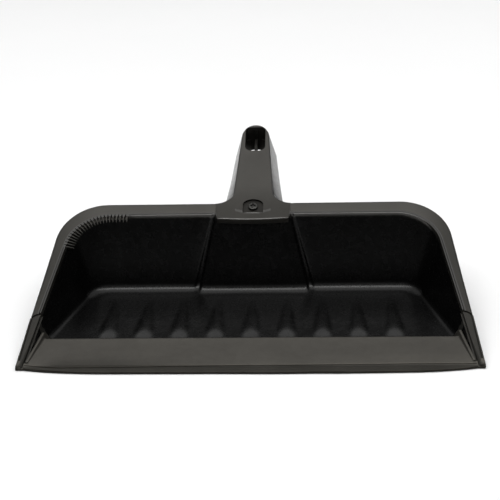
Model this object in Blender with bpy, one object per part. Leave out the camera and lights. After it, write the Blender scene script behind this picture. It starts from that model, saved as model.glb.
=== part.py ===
"""Hand dust pan: a moulded tub with a comb corner, a channel handle held by one screw, and a soft front lip.

Metres, +Z up, the handle towards +Y and the lip towards -Y. The pieces are modelled with Y = 0 on the line
between the two front corners, and every object's location moves them so that the world origin is the centre
of the base of the bounding box.
"""

import math

import bmesh
import bpy
from mathutils import Vector

# Whole object
LIP_BOW = 0.0050
LIP_BOW_POWER = 6
GAP = 0.0003
OVERLAP = 0.00005
FITTING_ROUNDS = 20
LONGEST_TANGENT = 0.46

# How far the Boolean tools reach beyond the piece that they cut
CUT_FRONT_Y = -0.0200
CUT_INNER_X = 0.1250
CUT_OUTER_X = 0.1900
CUT_LOW_Z = -0.0200
CUT_HIGH_Z = 0.0600
CUT_MARGIN = 0.0060

# Tub: floor and walls. The walls are planes that lean outwards and cut the sloping plane of the rim.
WALL = 0.0026
FLOOR_TOP = WALL
SIDE_FOOT_X = 0.1509
SIDE_FOOT_TAPER = 0.3265
SIDE_LEAN = 0.31
BACK_FOOT_Y = 0.1025
BACK_LEAN = 0.30
TUB_FRONT_Y = 0.0050
TUB_MIDDLE_Y = 0.0600
FOOT_CORNER_R = 0.018
FOOT_FILLET_R = 0.009
FOOT_REACH = 0.016

# Rim: a flat flange in one sloping plane, with a skirt hanging from its outer edge
RIM_SLOPE = math.radians(23.9)
RIM_FRONT_Z = 0.0030
RIM_CORNER_X = 0.1556
RIM_TAPER = 0.137
RIM_BACK_Y = 0.1303
RIM_INNER_CORNER_R = 0.031
RIM_OUTER_CORNER_R = 0.036
RIM_BEAD_R = 0.0012
RIM_EDGE_R = 0.0022
SKIRT_DEPTH = 0.010

# Centre panel of the back wall: it stands forward between two grooves that spread towards the floor
PANEL_HALF_TOP = 0.0280
PANEL_HALF_FOOT = 0.0415
PANEL_PROUD = 0.0020
GROOVE_DEPTH = 0.0012
GROOVE_WIDTH = 0.0028

# Floor ridges
RIDGE_COUNT = 9
RIDGE_PITCH = 0.0247
RIDGE_FOOT_Y = 0.0365
RIDGE_ROOT = 0.0008
RIDGE_TOP_Y = 0.0475
RIDGE_END_Y = 0.0800
RIDGE_HEIGHT = 0.0022
RIDGE_BASE_HALF = 0.0064
RIDGE_TOP_HALF = 0.0030

# Comb on the rim's inner edge, round the left back corner
COMB_TEETH = 23
COMB_START_Y = 0.0935
COMB_END_X = 0.0915
TOOTH_LENGTH = 0.0054
TOOTH_HALF_WIDTH = 0.0009
TOOTH_TIP_HALF_WIDTH = 0.00020
TOOTH_HEIGHT = 0.0022
TOOTH_TIP_HEIGHT = 0.0007
TOOTH_SUNK = 0.0006
TOOTH_ROOT = 0.0016

# Front lip: a ramp over the floor's front edge, a thin blade, a cheek at each end and an arm up each rim
CREST_Y = 0.0290
CREST_Z = 0.0070
STEP_Y = 0.0036
STEP_Z = 0.0031
BLADE_Z = 0.0024
BLADE_TIP_Z = 0.0012
TONGUE_TOP = 0.0014
TONGUE_BACK_Y = 0.0275
FILLET_START_Y = 0.0360
BLADE_ROUND = 0.0006
CREST_ROUND = 0.0009
CHEEK_THICKNESS = 0.0022
CHEEK_FRONT_Y = 0.0040
CHEEK_FRONT_Z = 0.0043
CHEEK_END_Y = 0.0330
CHEEK_END_Z = 0.0112
SEAM_OUTER_Y = 0.0362
SEAM_INNER_Y = 0.0398
ARM_FRONT_Y = 0.0020
ARM_CAP = 0.0026
ARM_LEG = 0.0024
ARM_LEG_DEPTH = 0.0085
ARM_GROOVE_DEPTH = 0.0010
ARM_GROOVE_HALF = 0.0004
ARM_GROOVE_FROM_EDGE = 0.0017
LIP_STATIONS = 24
CORNER_OVERLAP = 0.0012
CORNER_WIDTH = 0.0032

# Handle: an inverted channel with a central rib, rising more gently than the rim. Its top face is an outline
# up a sloping plane, and its sides fall from it in steps of (share of the depth, wider, longer).
HANDLE_SLOPE = math.radians(20.0)
HANDLE_TIP_CENTRE = 0.0707
HANDLE_TIP_HALF = 0.0106
HANDLE_TIP_LONG = 0.0116
HANDLE_ROOT_HALF = 0.0148
HANDLE_ROOT_SPREAD = 1.35
HANDLE_SIDES = (
    (0.0, 0.0, 0.0),
    (0.04, 0.0010, 0.0005),
    (0.22, 0.0030, 0.0012),
    (0.45, 0.0036, 0.0014),
    (1.0, 0.0042, 0.0018),
)
HANDLE_DEPTH = 0.0190
HANDLE_DEPTH_ROOT = 0.0120
HANDLE_FULL_DEPTH_S = 0.0450
HANDLE_WALL = 0.0024
CHANNEL_DRAFT = 0.0010
CHANNEL_START_S = -0.0040
HANDLE_RIB_HALF = 0.0010
RIB_SHORTER = 0.0006
RIB_LOW_S = 0.0260
RIB_HIGH_S = 0.0200
FLARE_STEPS = 6
FLARE_LENGTH = 0.0090
SIDE_STEPS = 4
TIP_STEPS = 8
SADDLE_FRONT_Y = 0.1147
SADDLE_FRONT_HALF = 0.0258
SADDLE_HALF_BACK = 0.0275
SADDLE_END_HALF = 0.0120
SADDLE_END_S = 0.0020
SADDLE_THICKNESS = 0.0032
SEAT_BLOCK_FRONT_Y = 0.1210
SEAT_BLOCK_WIDER = 0.0040
SLOT_HALF_WIDTH = 0.0077
SLOT_FRONT_S = 0.0547
SLOT_BACK_S = 0.0792
SLOT_FRONT_R = 0.0045
SLOT_BACK_R = 0.0020

# Screw and its spot face at the handle's root, measured up the rim's plane from the front corners
SCREW_W = 0.1381
SCREW_HEAD_R = 0.0036
SCREW_HEAD_HEIGHT = 0.0014
SCREW_SHANK_R = 0.0017
SCREW_SHANK_LENGTH = 0.0110
SCREW_POINT_LENGTH = 0.0022
SCREW_CROSS_HALF = 0.0019
SCREW_CROSS_WIDTH = 0.0009
SCREW_CROSS_DEPTH = 0.0008
SCREW_SIDES = 24
HOLE_SIDES = 16
SPOT_HALF = 0.0074
SPOT_FRONT_W = 0.1315
SPOT_STRAIGHT = 0.0076
SPOT_ARCH_LONG = 0.0052
SPOT_ARCH_STEPS = 12
SPOT_DEPTH = 0.0014
BOSS_R = 0.0052
BOSS_DEPTH = 0.0150

HANDLE_END_S = HANDLE_TIP_CENTRE + HANDLE_TIP_LONG + HANDLE_SIDES[-1][2]
HANDLE_END_Y = RIM_BACK_Y + HANDLE_END_S * math.cos(HANDLE_SLOPE)
ORIGIN_SHIFT = Vector((0.0, (LIP_BOW - HANDLE_END_Y) / 2, 0.0))
RIM_RISE = math.tan(RIM_SLOPE)


# ---------------------------------------------------------------- helpers

def clear_scene():
    for obj in list(bpy.data.objects):
        bpy.data.objects.remove(obj, do_unlink=True)


def plastic(name, colour, roughness, metallic=0.0):
    """A Principled BSDF with one colour, roughness and metallic value."""
    material = bpy.data.materials.new(name)
    material.use_nodes = True
    shader = material.node_tree.nodes["Principled BSDF"]
    shader.inputs["Base Color"].default_value = (*colour, 1.0)
    shader.inputs["Roughness"].default_value = roughness
    shader.inputs["Metallic"].default_value = metallic
    return material


def mesh_object(name, points, faces, material=None):
    """A mesh object of triangles, so that every face is flat, turned to point outwards."""
    mesh = bpy.data.meshes.new(name)
    mesh.from_pydata([tuple(point) for point in points], [], faces)
    work = bmesh.new()
    work.from_mesh(mesh)
    bmesh.ops.triangulate(work, faces=work.faces)
    bmesh.ops.recalc_face_normals(work, faces=work.faces)
    work.to_mesh(mesh)
    work.free()
    obj = bpy.data.objects.new(name, mesh)
    bpy.context.scene.collection.objects.link(obj)
    obj.location = ORIGIN_SHIFT
    if material:
        mesh.materials.append(material)
    return obj


def loft(name, loops, material=None):
    """A closed solid through loops of the same number of points, with a flat face at each end."""
    count = len(loops[0])
    points = [point for loop in loops for point in loop]
    faces = []
    for row in range(len(loops) - 1):
        for k in range(count):
            after = (k + 1) % count
            low = row * count
            high = low + count
            faces.append((low + k, low + after, high + after, high + k))
    faces.append(tuple(range(count)))
    faces.append(tuple(range((len(loops) - 1) * count, len(loops) * count)))
    return mesh_object(name, points, faces, material)


def helper(obj):
    """Marks an object as a tool for a Boolean, not a piece of the dust pan."""
    obj.hide_render = True
    obj.display_type = "WIRE"
    return obj


def boolean(obj, tool, operation):
    modifier = obj.modifiers.new(f"{operation.lower()} {tool.name}", "BOOLEAN")
    modifier.operation = operation
    modifier.solver = "EXACT"
    modifier.object = helper(tool)


def shade(obj, angle=math.radians(35)):
    obj.data.shade_smooth()
    obj.data.set_sharp_from_angle(angle=angle)


def rounded(points, radii, steps):
    """The open line through points, with an arc of so many steps at each inner point.

    An arc that does not fit takes the largest radius that does, so every line has the same number of points.
    """
    line = [points[0]]
    for before, corner, after, radius, count in zip(points, points[1:], points[2:], radii, steps):
        back = before - corner
        ahead = after - corner
        half = back.angle(ahead) / 2
        tangent = min(radius / math.tan(half), LONGEST_TANGENT * back.length, LONGEST_TANGENT * ahead.length)
        fitted = tangent * math.tan(half)
        middle = (back.normalized() + ahead.normalized()).normalized()
        centre = corner + middle * (fitted / math.sin(half))
        start = corner + back.normalized() * tangent - centre
        sweep = math.pi - 2 * half
        side = (corner + ahead.normalized() * tangent - centre) - start * math.cos(sweep)
        side = side.normalized() * fitted
        for k in range(count + 1):
            turn = sweep * k / count
            line.append(centre + start * math.cos(turn) + side * math.sin(turn))
    line.append(points[-1])
    return line


# ---------------------------------------------------------------- planes of the tub

def side_x(y, z, outward=0.0):
    """X of the right side wall's inner face at a place, moved outwards by a distance square to the wall."""
    spread = math.sqrt(1 + SIDE_FOOT_TAPER**2 + SIDE_LEAN**2)
    return SIDE_FOOT_X - SIDE_FOOT_TAPER * y + SIDE_LEAN * (z - FLOOR_TOP) + outward * spread


def rim_z(y, lift=0.0):
    """Height of the rim's plane at a place, moved square to itself."""
    return RIM_FRONT_Z + RIM_RISE * y + lift / math.cos(RIM_SLOPE)


def rim_edge_x(y):
    return RIM_CORNER_X - RIM_TAPER * y


def on_rim(x, w, lift=0.0):
    """The place x across and w up the rim's plane, lifted square to it."""
    y = w * math.cos(RIM_SLOPE) - lift * math.sin(RIM_SLOPE)
    z = RIM_FRONT_Z + w * math.sin(RIM_SLOPE) + lift * math.cos(RIM_SLOPE)
    return Vector((x, y, z))


# ---------------------------------------------------------------- pan body

def u_curve(side, back_y, height, corner_radius, groove_x, proud, counts=(8, 8, 5)):
    """A line from the right front round the back to the left front, at the same stations on every call.

    side(y, z) gives the side's X, back_y(z) the back's Y and height(y) the Z of the surface that it lies in.
    groove_x is where the back's groove crosses it, and proud scales the centre panel's stand.
    """
    y_corner = BACK_FOOT_Y
    for _ in range(FITTING_ROUNDS):
        y_corner = back_y(height(y_corner))
    z_corner = height(y_corner)
    corner = Vector((side(y_corner, z_corner), y_corner, z_corner))
    front = Vector((side(TUB_FRONT_Y, height(TUB_FRONT_Y)), TUB_FRONT_Y, height(TUB_FRONT_Y)))
    middle = Vector((0.0, y_corner, z_corner))
    arc = rounded([front, corner, middle], [corner_radius], [counts[1]])
    half = [front.lerp(arc[1], k / counts[0]) for k in range(counts[0])]
    half += arc[1:-1]
    outer = groove_x + GROOVE_WIDTH / 2
    half += [arc[-2].lerp(Vector((outer, y_corner, z_corner)), k / counts[2]) for k in range(1, counts[2] + 1)]
    half.append(Vector((groove_x, y_corner + proud * GROOVE_DEPTH, z_corner)))
    half.append(Vector((groove_x - GROOVE_WIDTH / 2, y_corner - proud * PANEL_PROUD, z_corner)))
    half.append(Vector((0.0, y_corner - proud * PANEL_PROUD, z_corner)))
    return half + [Vector((-point.x, point.y, point.z)) for point in reversed(half[:-1])]


def back_plane(outward=0.0):
    spread = math.sqrt(1 + BACK_LEAN**2)
    return lambda z: BACK_FOOT_Y + BACK_LEAN * (z - FLOOR_TOP) + outward * spread


def side_outer_x(y, z):
    return side_x(y, z, WALL)


def rim_under_z(y):
    return rim_z(y, -WALL)


def tub():
    """Floor, walls, rim flange and skirt, lofted from sections set round the U of the walls."""
    foot = u_curve(side_x, back_plane(), lambda y: FLOOR_TOP, FOOT_CORNER_R, PANEL_HALF_FOOT, 1)
    inner = u_curve(side_x, back_plane(), rim_z, RIM_INNER_CORNER_R, PANEL_HALF_TOP, 1)
    under = u_curve(side_outer_x, back_plane(WALL), lambda y: 0.0, FOOT_CORNER_R + WALL, PANEL_HALF_FOOT, 1)
    radius = RIM_INNER_CORNER_R + WALL
    inner_under = u_curve(side_outer_x, back_plane(WALL), rim_under_z, radius, PANEL_HALF_TOP, 1)

    def edge(inset, height):
        radius = RIM_OUTER_CORNER_R - inset
        return u_curve(
            lambda y, z: rim_edge_x(y) - inset, lambda z: RIM_BACK_Y - inset, height, radius, PANEL_HALF_TOP, 0
        )

    outer = edge(0.0, rim_z)
    outer_under = edge(WALL, rim_under_z)
    down = Vector((0.0, 0.0, -SKIRT_DEPTH))
    down_under = Vector((0.0, 0.0, -SKIRT_DEPTH + WALL / math.cos(RIM_SLOPE)))
    count = len(foot)
    shown = []
    hidden = []
    for i in range(count):
        along = foot[min(i + 1, count - 1)] - foot[max(i - 1, 0)]
        if i in (0, count - 1):
            along = Vector((0.0, 1.0, 0.0))
        inward = Vector((-along.y, along.x, 0.0)).normalized()
        if inward.dot(Vector((0.0, TUB_MIDDLE_Y, 0.0)) - foot[i]) < 0:
            inward.negate()
        reach = inward * FOOT_REACH
        radii = [FOOT_FILLET_R, RIM_BEAD_R + WALL / 2, RIM_EDGE_R]
        line = [foot[i] + reach, foot[i], inner[i], outer[i], outer[i] + down]
        shown.append(rounded(line, radii, (4, 3, 3))[1:])
        radii = [FOOT_FILLET_R + WALL, RIM_BEAD_R / 2, RIM_EDGE_R / 4]
        line = [under[i] + reach, under[i], inner_under[i], outer_under[i], outer_under[i] + down_under]
        hidden.append(rounded(line, radii, (4, 3, 3))[1:])
    size = len(shown[0])
    ring = [shown[i] + hidden[i][::-1] for i in range(count)]
    points = [point for section in ring for point in section]
    faces = []
    for i in range(count - 1):
        for k in range(2 * size - 1):
            here = i * 2 * size + k
            after = here + 2 * size
            faces.append((here, after, after + 1, here + 1))
    first = list(range(2 * size))
    last = [(count - 1) * 2 * size + k for k in range(2 * size)]
    faces.append(tuple(i * 2 * size for i in range(count)))
    faces.append(tuple(i * 2 * size + 2 * size - 1 for i in range(count)))
    faces.append(tuple(first + last[::-1]))
    return mesh_object("pan_body", points, faces)


def side_prism(name, sign, rows):
    """A solid along one side: rows of points with x on the right, mirrored for the left by sign."""
    return loft(name, [[Vector((sign * x, y, z)) for x, y, z in row] for row in rows])


def ridge(index):
    """A floor ridge: a sloping front facet, a narrow top and a long run-out to the back.

    Its faces go on down under the floor's surface, so that the union leaves no shared corner.
    """
    x = (index - (RIDGE_COUNT - 1) / 2) * RIDGE_PITCH
    deeper = (RIDGE_HEIGHT + RIDGE_ROOT) / RIDGE_HEIGHT
    base = RIDGE_TOP_HALF + (RIDGE_BASE_HALF - RIDGE_TOP_HALF) * deeper
    front_y = RIDGE_TOP_Y - (RIDGE_TOP_Y - RIDGE_FOOT_Y) * deeper
    end_y = RIDGE_TOP_Y + (RIDGE_END_Y - RIDGE_TOP_Y) * deeper
    low = FLOOR_TOP - RIDGE_ROOT
    top = FLOOR_TOP + RIDGE_HEIGHT
    points = [
        Vector((x - base, front_y, low)),
        Vector((x + base, front_y, low)),
        Vector((x + base, RIDGE_TOP_Y, low)),
        Vector((x, end_y, low)),
        Vector((x - base, RIDGE_TOP_Y, low)),
        Vector((x - RIDGE_TOP_HALF, RIDGE_TOP_Y, top)),
        Vector((x + RIDGE_TOP_HALF, RIDGE_TOP_Y, top)),
    ]
    faces = [(0, 1, 6, 5), (1, 2, 6), (2, 3, 6), (3, 5, 6), (3, 4, 5), (4, 0, 5), (0, 4, 3, 2, 1)]
    return points, faces


def group(name, solids):
    """One object that holds several separate closed solids, for one Boolean."""
    points = []
    faces = []
    for solid_points, solid_faces in solids:
        faces += [tuple(len(points) + k for k in face) for face in solid_faces]
        points += solid_points
    return mesh_object(name, points, faces)


def comb_line():
    """The left part of the rim's inner edge that carries the comb, from the side to the back."""
    line = u_curve(side_x, back_plane(), rim_z, RIM_INNER_CORNER_R, PANEL_HALF_TOP, 1)
    left = [point for point in reversed(line) if point.x < -PANEL_HALF_TOP]
    start = next(i for i, point in enumerate(left) if point.y > COMB_START_Y)
    before, after = left[start - 1], left[start]
    first = before.lerp(after, (COMB_START_Y - before.y) / (after.y - before.y))
    line = [first]
    for before, point in zip(left[start - 1 :], left[start:]):
        if point.x > -COMB_END_X:
            line.append(before.lerp(point, (-COMB_END_X - before.x) / (point.x - before.x)))
            break
        line.append(point)
    return line


def along_line(line, share):
    """The place and the direction at a share of a line's length."""
    lengths = [(b - a).length for a, b in zip(line, line[1:])]
    left = share * sum(lengths)
    for a, b, length in zip(line, line[1:], lengths):
        if left <= length + 1e-9:
            return a.lerp(b, min(left / length, 1.0)), (b - a).normalized()
        left -= length
    return line[-1], (line[-1] - line[-2]).normalized()


def tooth(index, line):
    """One comb tooth: a thin wedge that tapers to a point, reaching in from the rim's inner edge."""
    place, along = along_line(line, index / (COMB_TEETH - 1))
    up = Vector((0.0, -math.sin(RIM_SLOPE), math.cos(RIM_SLOPE)))
    inward = along.cross(up).normalized()
    root = place - inward * TOOTH_ROOT - up * TOOTH_SUNK
    tip = place + inward * TOOTH_LENGTH - up * TOOTH_SUNK
    wide = along * TOOTH_HALF_WIDTH
    narrow = along * TOOTH_TIP_HALF_WIDTH
    deep = up * TOOTH_HEIGHT
    shallow = up * TOOTH_TIP_HEIGHT
    points = [root - wide, root + wide, root + wide - deep, root - wide - deep]
    points += [tip - narrow, tip + narrow, tip + narrow - shallow, tip - narrow - shallow]
    faces = [(0, 1, 2, 3), (4, 5, 6, 7), (0, 1, 5, 4), (1, 2, 6, 5), (2, 3, 7, 6), (3, 0, 4, 7)]
    return points, faces


def seat_block():
    """The thick part of the rim under the handle's saddle, which carries the screw's boss."""
    half = SADDLE_HALF_BACK + SEAT_BLOCK_WIDER
    back = RIM_BACK_Y - WALL / 2
    places = [(-half, SEAT_BLOCK_FRONT_Y), (half, SEAT_BLOCK_FRONT_Y), (half, back), (-half, back)]
    lower = [Vector((x, y, rim_z(y) - SKIRT_DEPTH)) for x, y in places]
    upper = [Vector((x, y, rim_z(y, -WALL / 2))) for x, y in places]
    return loft("seat_block", [lower, upper])


def rim_circle(radius, lift, count=SCREW_SIDES):
    """A circle round the screw's axis, lifted square to the rim's plane."""
    turns = [2 * math.pi * k / count for k in range(count)]
    return [on_rim(radius * math.cos(turn), SCREW_W + radius * math.sin(turn), lift) for turn in turns]


def rim_cylinder(name, radius, top, bottom, count=SCREW_SIDES):
    """A cylinder square to the rim's plane, centred on the screw."""
    loops = []
    for lift in (bottom, top):
        loops.append(rim_circle(radius, lift, count))
    return loft(name, loops)


def saddle_half(w):
    """The saddle's half-width at a place up the rim's plane."""
    front_w = SADDLE_FRONT_Y / math.cos(RIM_SLOPE)
    back_w = RIM_BACK_Y / math.cos(RIM_SLOPE)
    return SADDLE_FRONT_HALF + (SADDLE_HALF_BACK - SADDLE_FRONT_HALF) * (w - front_w) / (back_w - front_w)


def saddle_seat():
    """The space that the handle's saddle takes out of the rim, with its clearance."""
    front_w = SADDLE_FRONT_Y / math.cos(RIM_SLOPE) - CUT_MARGIN
    back_w = RIM_BACK_Y / math.cos(RIM_SLOPE) + CUT_MARGIN
    front_half = saddle_half(front_w) + GAP
    back_half = saddle_half(back_w) + GAP
    outline = [(-front_half, front_w), (front_half, front_w), (back_half, back_w), (-back_half, back_w)]
    lifts = (-SADDLE_THICKNESS - GAP, CUT_MARGIN)
    return loft("saddle_seat", [[on_rim(x, w, lift) for x, w in outline] for lift in lifts])


def front_room(name, back, floor):
    """The space over the floor's front edge up to a height, between the side walls."""
    rows = []
    for z in (floor, CUT_HIGH_Z):
        places = ((-1, CUT_FRONT_Y), (1, CUT_FRONT_Y), (1, back), (-1, back))
        rows.append([Vector((sign * side_x(y, z), y, z)) for sign, y in places])
    return loft(name, rows)


def arm_room(hand, sign):
    """The space above the side wall that the lip's arm caps, in front of the seam."""
    places = [(x, CUT_FRONT_Y) for x in (CUT_INNER_X, CUT_OUTER_X)]
    places += [(x, seam_y(x)) for x in (CUT_OUTER_X, CUT_INNER_X)]
    rows = [[(x, y, rim_z(y, lift)) for x, y in places] for lift in (-ARM_CAP - GAP, CUT_MARGIN)]
    return side_prism(f"arm_room_{hand}", sign, rows)


def leg_room(hand, sign):
    """The space outside the side wall that the lip's arm hangs in, in front of the seam."""
    rows = []
    for z in (CUT_LOW_Z, CUT_HIGH_Z):
        back_in = seam_at_wall(z)
        rows.append(
            [
                (side_x(CUT_FRONT_Y, z, WALL), CUT_FRONT_Y, z),
                (CUT_OUTER_X, CUT_FRONT_Y, z),
                (CUT_OUTER_X, seam_y(CUT_OUTER_X), z),
                (side_x(back_in, z, WALL), back_in, z),
            ]
        )
    return side_prism(f"leg_room_{hand}", sign, rows)


def make_pan_body():
    body = tub()
    boolean(body, seat_block(), "UNION")
    boolean(body, rim_cylinder("boss", BOSS_R, -SADDLE_THICKNESS, -BOSS_DEPTH), "UNION")
    boolean(body, saddle_seat(), "DIFFERENCE")
    pilot = rim_cylinder("screw_pilot", SCREW_SHANK_R + GAP, 0.0, -BOSS_DEPTH - WALL, HOLE_SIDES)
    boolean(body, pilot, "DIFFERENCE")
    boolean(body, front_room("tongue_rebate", TONGUE_BACK_Y, TONGUE_TOP), "DIFFERENCE")
    boolean(body, front_room("lip_heel_room", FILLET_START_Y, FLOOR_TOP), "DIFFERENCE")
    for sign, hand in ((1, "right"), (-1, "left")):
        boolean(body, arm_room(hand, sign), "DIFFERENCE")
        boolean(body, leg_room(hand, sign), "DIFFERENCE")
    line = comb_line()
    boolean(body, group("ridges", [ridge(index) for index in range(RIDGE_COUNT)]), "UNION")
    boolean(body, group("comb", [tooth(index, line) for index in range(COMB_TEETH)]), "UNION")
    body.data.materials.append(plastic("polypropylene", (0.030, 0.028, 0.025), 0.42))
    shade(body)
    return body


# ---------------------------------------------------------------- front lip

def seam_y(x, clearance=0.0):
    """The slanted line, seen from above, where the lip's arm meets the moulded rim."""
    inner_x = side_x(SEAM_INNER_Y, rim_z(SEAM_INNER_Y))
    outer_x = rim_edge_x(SEAM_OUTER_Y)
    share = (x - inner_x) / (outer_x - inner_x)
    return SEAM_INNER_Y + (SEAM_OUTER_Y - SEAM_INNER_Y) * share - clearance


def seam_at_wall(z):
    """Y where the seam's line crosses the side wall's outer face at a height."""
    y = SEAM_OUTER_Y
    for _ in range(FITTING_ROUNDS):
        y = seam_y(side_x(y, z, WALL))
    return y


def cheek_rows(heel):
    """The upstand that closes the ramp's end against the side wall and sinks to the front corner."""
    rise = (CHEEK_END_Z - CHEEK_FRONT_Z) / (CHEEK_END_Y - CHEEK_FRONT_Y)
    low = TONGUE_TOP + GAP + OVERLAP
    over_floor = FLOOR_TOP + GAP + OVERLAP
    steps = ((CHEEK_FRONT_Y, low), (heel - OVERLAP, low), (heel, over_floor), (CHEEK_END_Y, over_floor))
    rows = []
    for y, bottom in steps:
        top = CHEEK_FRONT_Z + rise * (y - CHEEK_FRONT_Y)
        outer = -GAP - OVERLAP
        inner = outer - CHEEK_THICKNESS
        rows.append(
            [
                (side_x(y, bottom, inner), y, bottom),
                (side_x(y, bottom, outer), y, bottom),
                (side_x(y, top, outer), y, top),
                (side_x(y, top, inner), y, top),
            ]
        )
    return rows


def corner_rows():
    """The front corner, in front of the wall's end: low where the ramp ends, and high under the arm."""
    inner_x = side_x(TUB_FRONT_Y, 0.0) - CORNER_OVERLAP
    rows = []
    for y, ramp_z in ((0.0, BLADE_TIP_Z + OVERLAP), (TUB_FRONT_Y - GAP, STEP_Z + OVERLAP)):
        outer_x = rim_edge_x(y) - OVERLAP
        high_x = outer_x - CORNER_WIDTH
        top = rim_z(y) - OVERLAP
        rows.append(
            [
                (inner_x, y, 0.0),
                (outer_x, y, 0.0),
                (outer_x, y, top),
                (high_x, y, top),
                (high_x - CORNER_OVERLAP / 2, y, ramp_z),
                (inner_x, y, ramp_z),
            ]
        )
    return rows


def arm_rows():
    """The arm that caps the side wall up to the seam: a top strip with a groove along it, and an outer leg."""
    inner_seam_y = seam_y(side_x(SEAM_INNER_Y, rim_z(SEAM_INNER_Y)), GAP)
    outer_seam_y = seam_y(rim_edge_x(SEAM_OUTER_Y), GAP)
    rows = []
    for share in (0.0, 0.5, 1.0):
        y_outer = ARM_FRONT_Y + (outer_seam_y - ARM_FRONT_Y) * share
        y_inner = ARM_FRONT_Y + (inner_seam_y - ARM_FRONT_Y) * share
        outer_x = rim_edge_x(y_outer)
        inner_x = side_x(y_inner, rim_z(y_inner))
        groove_x = outer_x - ARM_GROOVE_FROM_EDGE

        def place(x, lift):
            y = y_inner + (y_outer - y_inner) * (x - inner_x) / (outer_x - inner_x)
            return x, y, rim_z(y, lift)

        low = max(OVERLAP, rim_z(y_outer) - ARM_LEG_DEPTH)
        x_leg, y_leg, _ = place(outer_x - ARM_LEG, 0.0)
        rows.append(
            [
                place(outer_x, 0.0),
                (outer_x, y_outer, low),
                (x_leg, y_leg, low),
                place(outer_x - ARM_LEG, -ARM_CAP),
                place(inner_x, -ARM_CAP),
                place(inner_x, 0.0),
                place(groove_x - ARM_GROOVE_HALF, 0.0),
                place(groove_x - ARM_GROOVE_HALF, -ARM_GROOVE_DEPTH),
                place(groove_x + ARM_GROOVE_HALF, -ARM_GROOVE_DEPTH),
                place(groove_x + ARM_GROOVE_HALF, 0.0),
            ]
        )
    return rows


def lip_profile(heel):
    """The lip's section from the ground round to the ground, as (y, z, share of the bow)."""
    return [
        (BLADE_ROUND, 0.0, 1.0),
        (0.0, BLADE_ROUND, 1.0),
        (0.0, BLADE_TIP_Z, 1.0),
        (BLADE_ROUND, BLADE_TIP_Z + BLADE_ROUND, 1.0),
        (STEP_Y, BLADE_Z, 0.0),
        (STEP_Y + BLADE_ROUND, STEP_Z, 0.0),
        (CREST_Y, CREST_Z, 0.0),
        (CREST_Y + CREST_ROUND, CREST_Z - CREST_ROUND, 0.0),
        (CREST_Y + CREST_ROUND, FLOOR_TOP + GAP, 0.0),
        (heel, FLOOR_TOP + GAP, 0.0),
        (heel, TONGUE_TOP + GAP, 0.0),
        (TUB_FRONT_Y - GAP, TONGUE_TOP + GAP, 0.0),
        (TUB_FRONT_Y - GAP, 0.0, 0.0),
    ]


def make_front_lip():
    heel = TONGUE_BACK_Y - GAP
    loops = []
    for k in range(LIP_STATIONS + 1):
        across = 2 * k / LIP_STATIONS - 1
        bow = LIP_BOW * (1 - abs(across) ** LIP_BOW_POWER)
        places = [(y - bow * share, z) for y, z, share in lip_profile(heel)]
        loops.append([Vector((across * side_x(y, z, -GAP), y, z)) for y, z in places])
    lip = loft("front_lip", loops)
    for sign, hand in ((1, "right"), (-1, "left")):
        boolean(lip, side_prism(f"cheek_{hand}", sign, cheek_rows(heel)), "UNION")
        boolean(lip, side_prism(f"corner_{hand}", sign, corner_rows()), "UNION")
        boolean(lip, side_prism(f"arm_{hand}", sign, arm_rows()), "UNION")
    lip.data.materials.append(plastic("soft_lip", (0.060, 0.056, 0.050), 0.5))
    shade(lip)
    return lip


# ---------------------------------------------------------------- handle

def on_handle(x, s, drop=0.0):
    """The place x across and s up the handle's sloping top plane from the rim's edge, dropped straight down."""
    y = RIM_BACK_Y + s * math.cos(HANDLE_SLOPE)
    z = rim_z(RIM_BACK_Y) + s * math.sin(HANDLE_SLOPE) - drop
    return Vector((x, y, z))


def handle_depth(s):
    share = min(max(s / HANDLE_FULL_DEPTH_S, 0.0), 1.0)
    return HANDLE_DEPTH_ROOT + (HANDLE_DEPTH - HANDLE_DEPTH_ROOT) * share


def handle_outline(wider, longer, start):
    """The grip from above: flared root, tapering sides and a round tip, as (x, s) from right to left."""
    tip_half = HANDLE_TIP_HALF + wider
    root_half = HANDLE_ROOT_HALF + wider * HANDLE_ROOT_SPREAD
    flare_half = SADDLE_HALF_BACK + wider / 4
    side = [(flare_half, start)]
    for k in range(1, FLARE_STEPS + 1):
        turn = math.pi / 2 * k / FLARE_STEPS
        rise = 4 * OVERLAP + (FLARE_LENGTH - start) * (1 - math.cos(turn))
        side.append((root_half + (flare_half - root_half) * (1 - math.sin(turn)), start + rise))
    for k in range(1, SIDE_STEPS):
        share = k / SIDE_STEPS
        s = FLARE_LENGTH + (HANDLE_TIP_CENTRE - FLARE_LENGTH) * share
        side.append((root_half + (tip_half - root_half) * share, s))
    for k in range(TIP_STEPS + 1):
        turn = math.pi / 2 * k / TIP_STEPS
        s = HANDLE_TIP_CENTRE + (HANDLE_TIP_LONG + longer) * math.sin(turn)
        side.append((tip_half * math.cos(turn), s))
    left = [(-x, s) for x, s in reversed(side[:-1])]
    return side + left


def handle_channel():
    """The hollow under the grip, with draft so that it widens downwards."""
    inward = -HANDLE_WALL / 2
    loops = []
    for drop, draft in ((HANDLE_WALL, 0.0), (HANDLE_DEPTH + CUT_MARGIN, CHANNEL_DRAFT)):
        outline = handle_outline(inward + draft, draft - HANDLE_WALL, CHANNEL_START_S)
        loops.append([on_handle(x, s, drop) for x, s in outline])
    return loft("channel", loops)


def handle_rib():
    """The rib along the middle of the hollow, a little shorter than the grip's sides."""
    far = HANDLE_TIP_CENTRE + HANDLE_TIP_LONG - HANDLE_WALL / 2
    half = HANDLE_RIB_HALF

    def corners(near):
        return ((-half, near), (half, near), (half, far), (-half, far))

    low = [on_handle(x, s, handle_depth(s) - RIB_SHORTER) for x, s in corners(RIB_LOW_S)]
    high = [on_handle(x, s, HANDLE_WALL / 2) for x, s in corners(RIB_HIGH_S)]
    return loft("rib", [low, high])


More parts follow.
